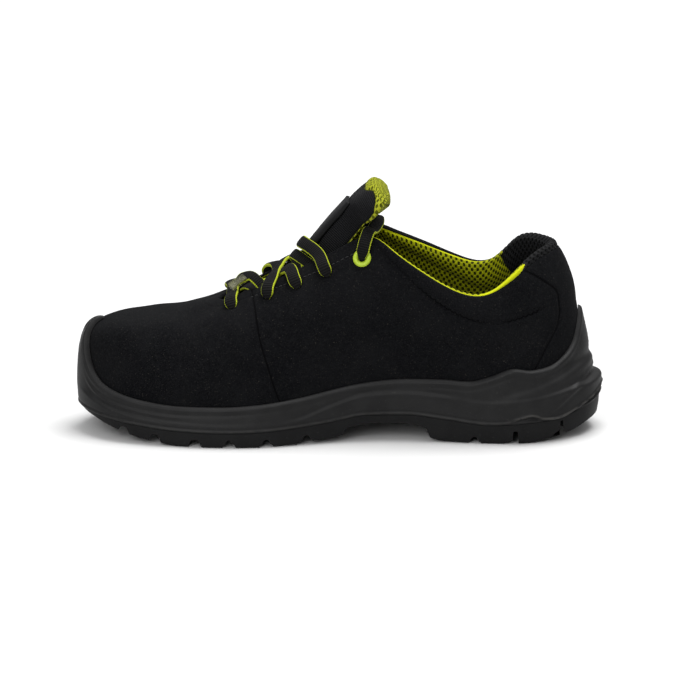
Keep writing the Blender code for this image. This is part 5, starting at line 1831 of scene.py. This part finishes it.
def build_tip():
    """The clear sleeve on the lace's end, and the lace in it."""
    start = np.array(TIP_START)
    end = np.array(TIP_END)
    path = path_through([start, 0.5 * (start + end), end], TIP_STEP)
    ahead = unit(end - start)
    across = unit(np.cross(ahead, TIP_FACING))
    up = np.cross(across, ahead)
    wide, high = (power(part, bend) for part, bend in zip(ring_sides(TIP_SIDES), TIP_POWERS))
    oval = 0.5 * (TIP_WIDTH * across * wide[:, None] + TIP_THICK * up * high[:, None])
    rings = [spot + oval for spot in path] + [spot + TIP_BORE * oval for spot in path[::-1]]
    piece = make_piece(
        "lace_tip_sleeve", np.concatenate(rings), ring_faces(len(rings), TIP_SIDES, True), [CLEAR],
        "tip_plastic", values={"side": np.tile(np.abs(wide), len(rings))},
    )
    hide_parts("lace_tip")
    line = path_through([(1.0 - TAIL_START) * start + TAIL_START * end, end, *TAIL_POINTS], LACE_STEP)
    grow = smooth(np.arange(len(line)) / TAIL_GROWS)
    width, thick = (low + more * grow for low, more in (TAIL_WIDTHS, TAIL_THICKS))
    lace_piece("lace_tail", [(line, np.tile(unit(TAIL_FACING), (len(line), 1)), width, thick)], None)


FLOOR_REACH = 4.0
LOW_LIGHT = 0.2
HIGH_LIGHT = 1.1


def make_light(name, place, aim, size, power):
    lamp = bpy.data.lights.new(name, "AREA")
    lamp.shape = "RECTANGLE"
    lamp.size, lamp.size_y = size
    lamp.energy = power
    thing = bpy.data.objects.new(name, lamp)
    thing.location = place
    thing.rotation_euler = (Vector(aim) - Vector(place)).to_track_quat("-Z", "Y").to_euler()
    bpy.context.scene.collection.objects.link(thing)


def make_stage():
    """A plain pale floor, a white surround that is darker below, and soft studio lights."""
    mesh = bpy.data.meshes.new("floor")
    corners = [(FLOOR_REACH * x, FLOOR_REACH * y, 0.0) for x, y in ((-1, -1), (1, -1), (1, 1), (-1, 1))]
    mesh.from_pydata(corners, [], [(0, 1, 2, 3)])
    mesh.materials.append(floor_look())
    floor = bpy.data.objects.new("floor", mesh)
    bpy.context.scene.collection.objects.link(floor)
    world = bpy.data.worlds.new("surround")
    world.use_nodes = True
    tree = world.node_tree
    back = tree.nodes["Background"]
    back.inputs["Color"].default_value = (1.0, 1.0, 1.0, 1.0)
    kinds = ("TexCoord", "SeparateXYZ", "MapRange")
    where, parts, fade = (tree.nodes.new("ShaderNode" + kind) for kind in kinds)
    for name, value in (("From Min", 0.0), ("From Max", 1.0), ("To Min", LOW_LIGHT), ("To Max", HIGH_LIGHT)):
        fade.inputs[name].default_value = value
    tree.links.new(where.outputs["Generated"], parts.inputs[0])
    tree.links.new(parts.outputs[2], fade.inputs["Value"])
    tree.links.new(fade.outputs["Result"], back.inputs["Strength"])
    bpy.context.scene.world = world
    make_light("top_light", place=(-0.6, -0.4, 3.0), aim=(0.0, 0.0, 0.0), size=(2.2, 1.8), power=125.0)
    make_light("front_light", place=(0.5, 1.4, 0.8), aim=(0.0, 0.0, 0.05), size=(0.9, 0.9), power=14.0)
    bpy.context.scene.view_settings.view_transform = "Standard"


def main():
    make_camera()
    spots = hole_spots()
    build_loop(spots)
    build_laces(spots)
    build_tip()
    punch(build_suede(), spots)
    build_stitches()
    punch(build_lining(), spots)
    build_midsole()
    build_outsole()
    build_insole()
    build_tongue()
    build_label()
    build_eyelet("eyelet_ring_inner", *spots[0][TOP_EYELET], "eyelet_inner")
    build_eyelet("eyelet_ring_outer", *spots[1][TOP_EYELET], "eyelet_outer")
    make_stage()


main()
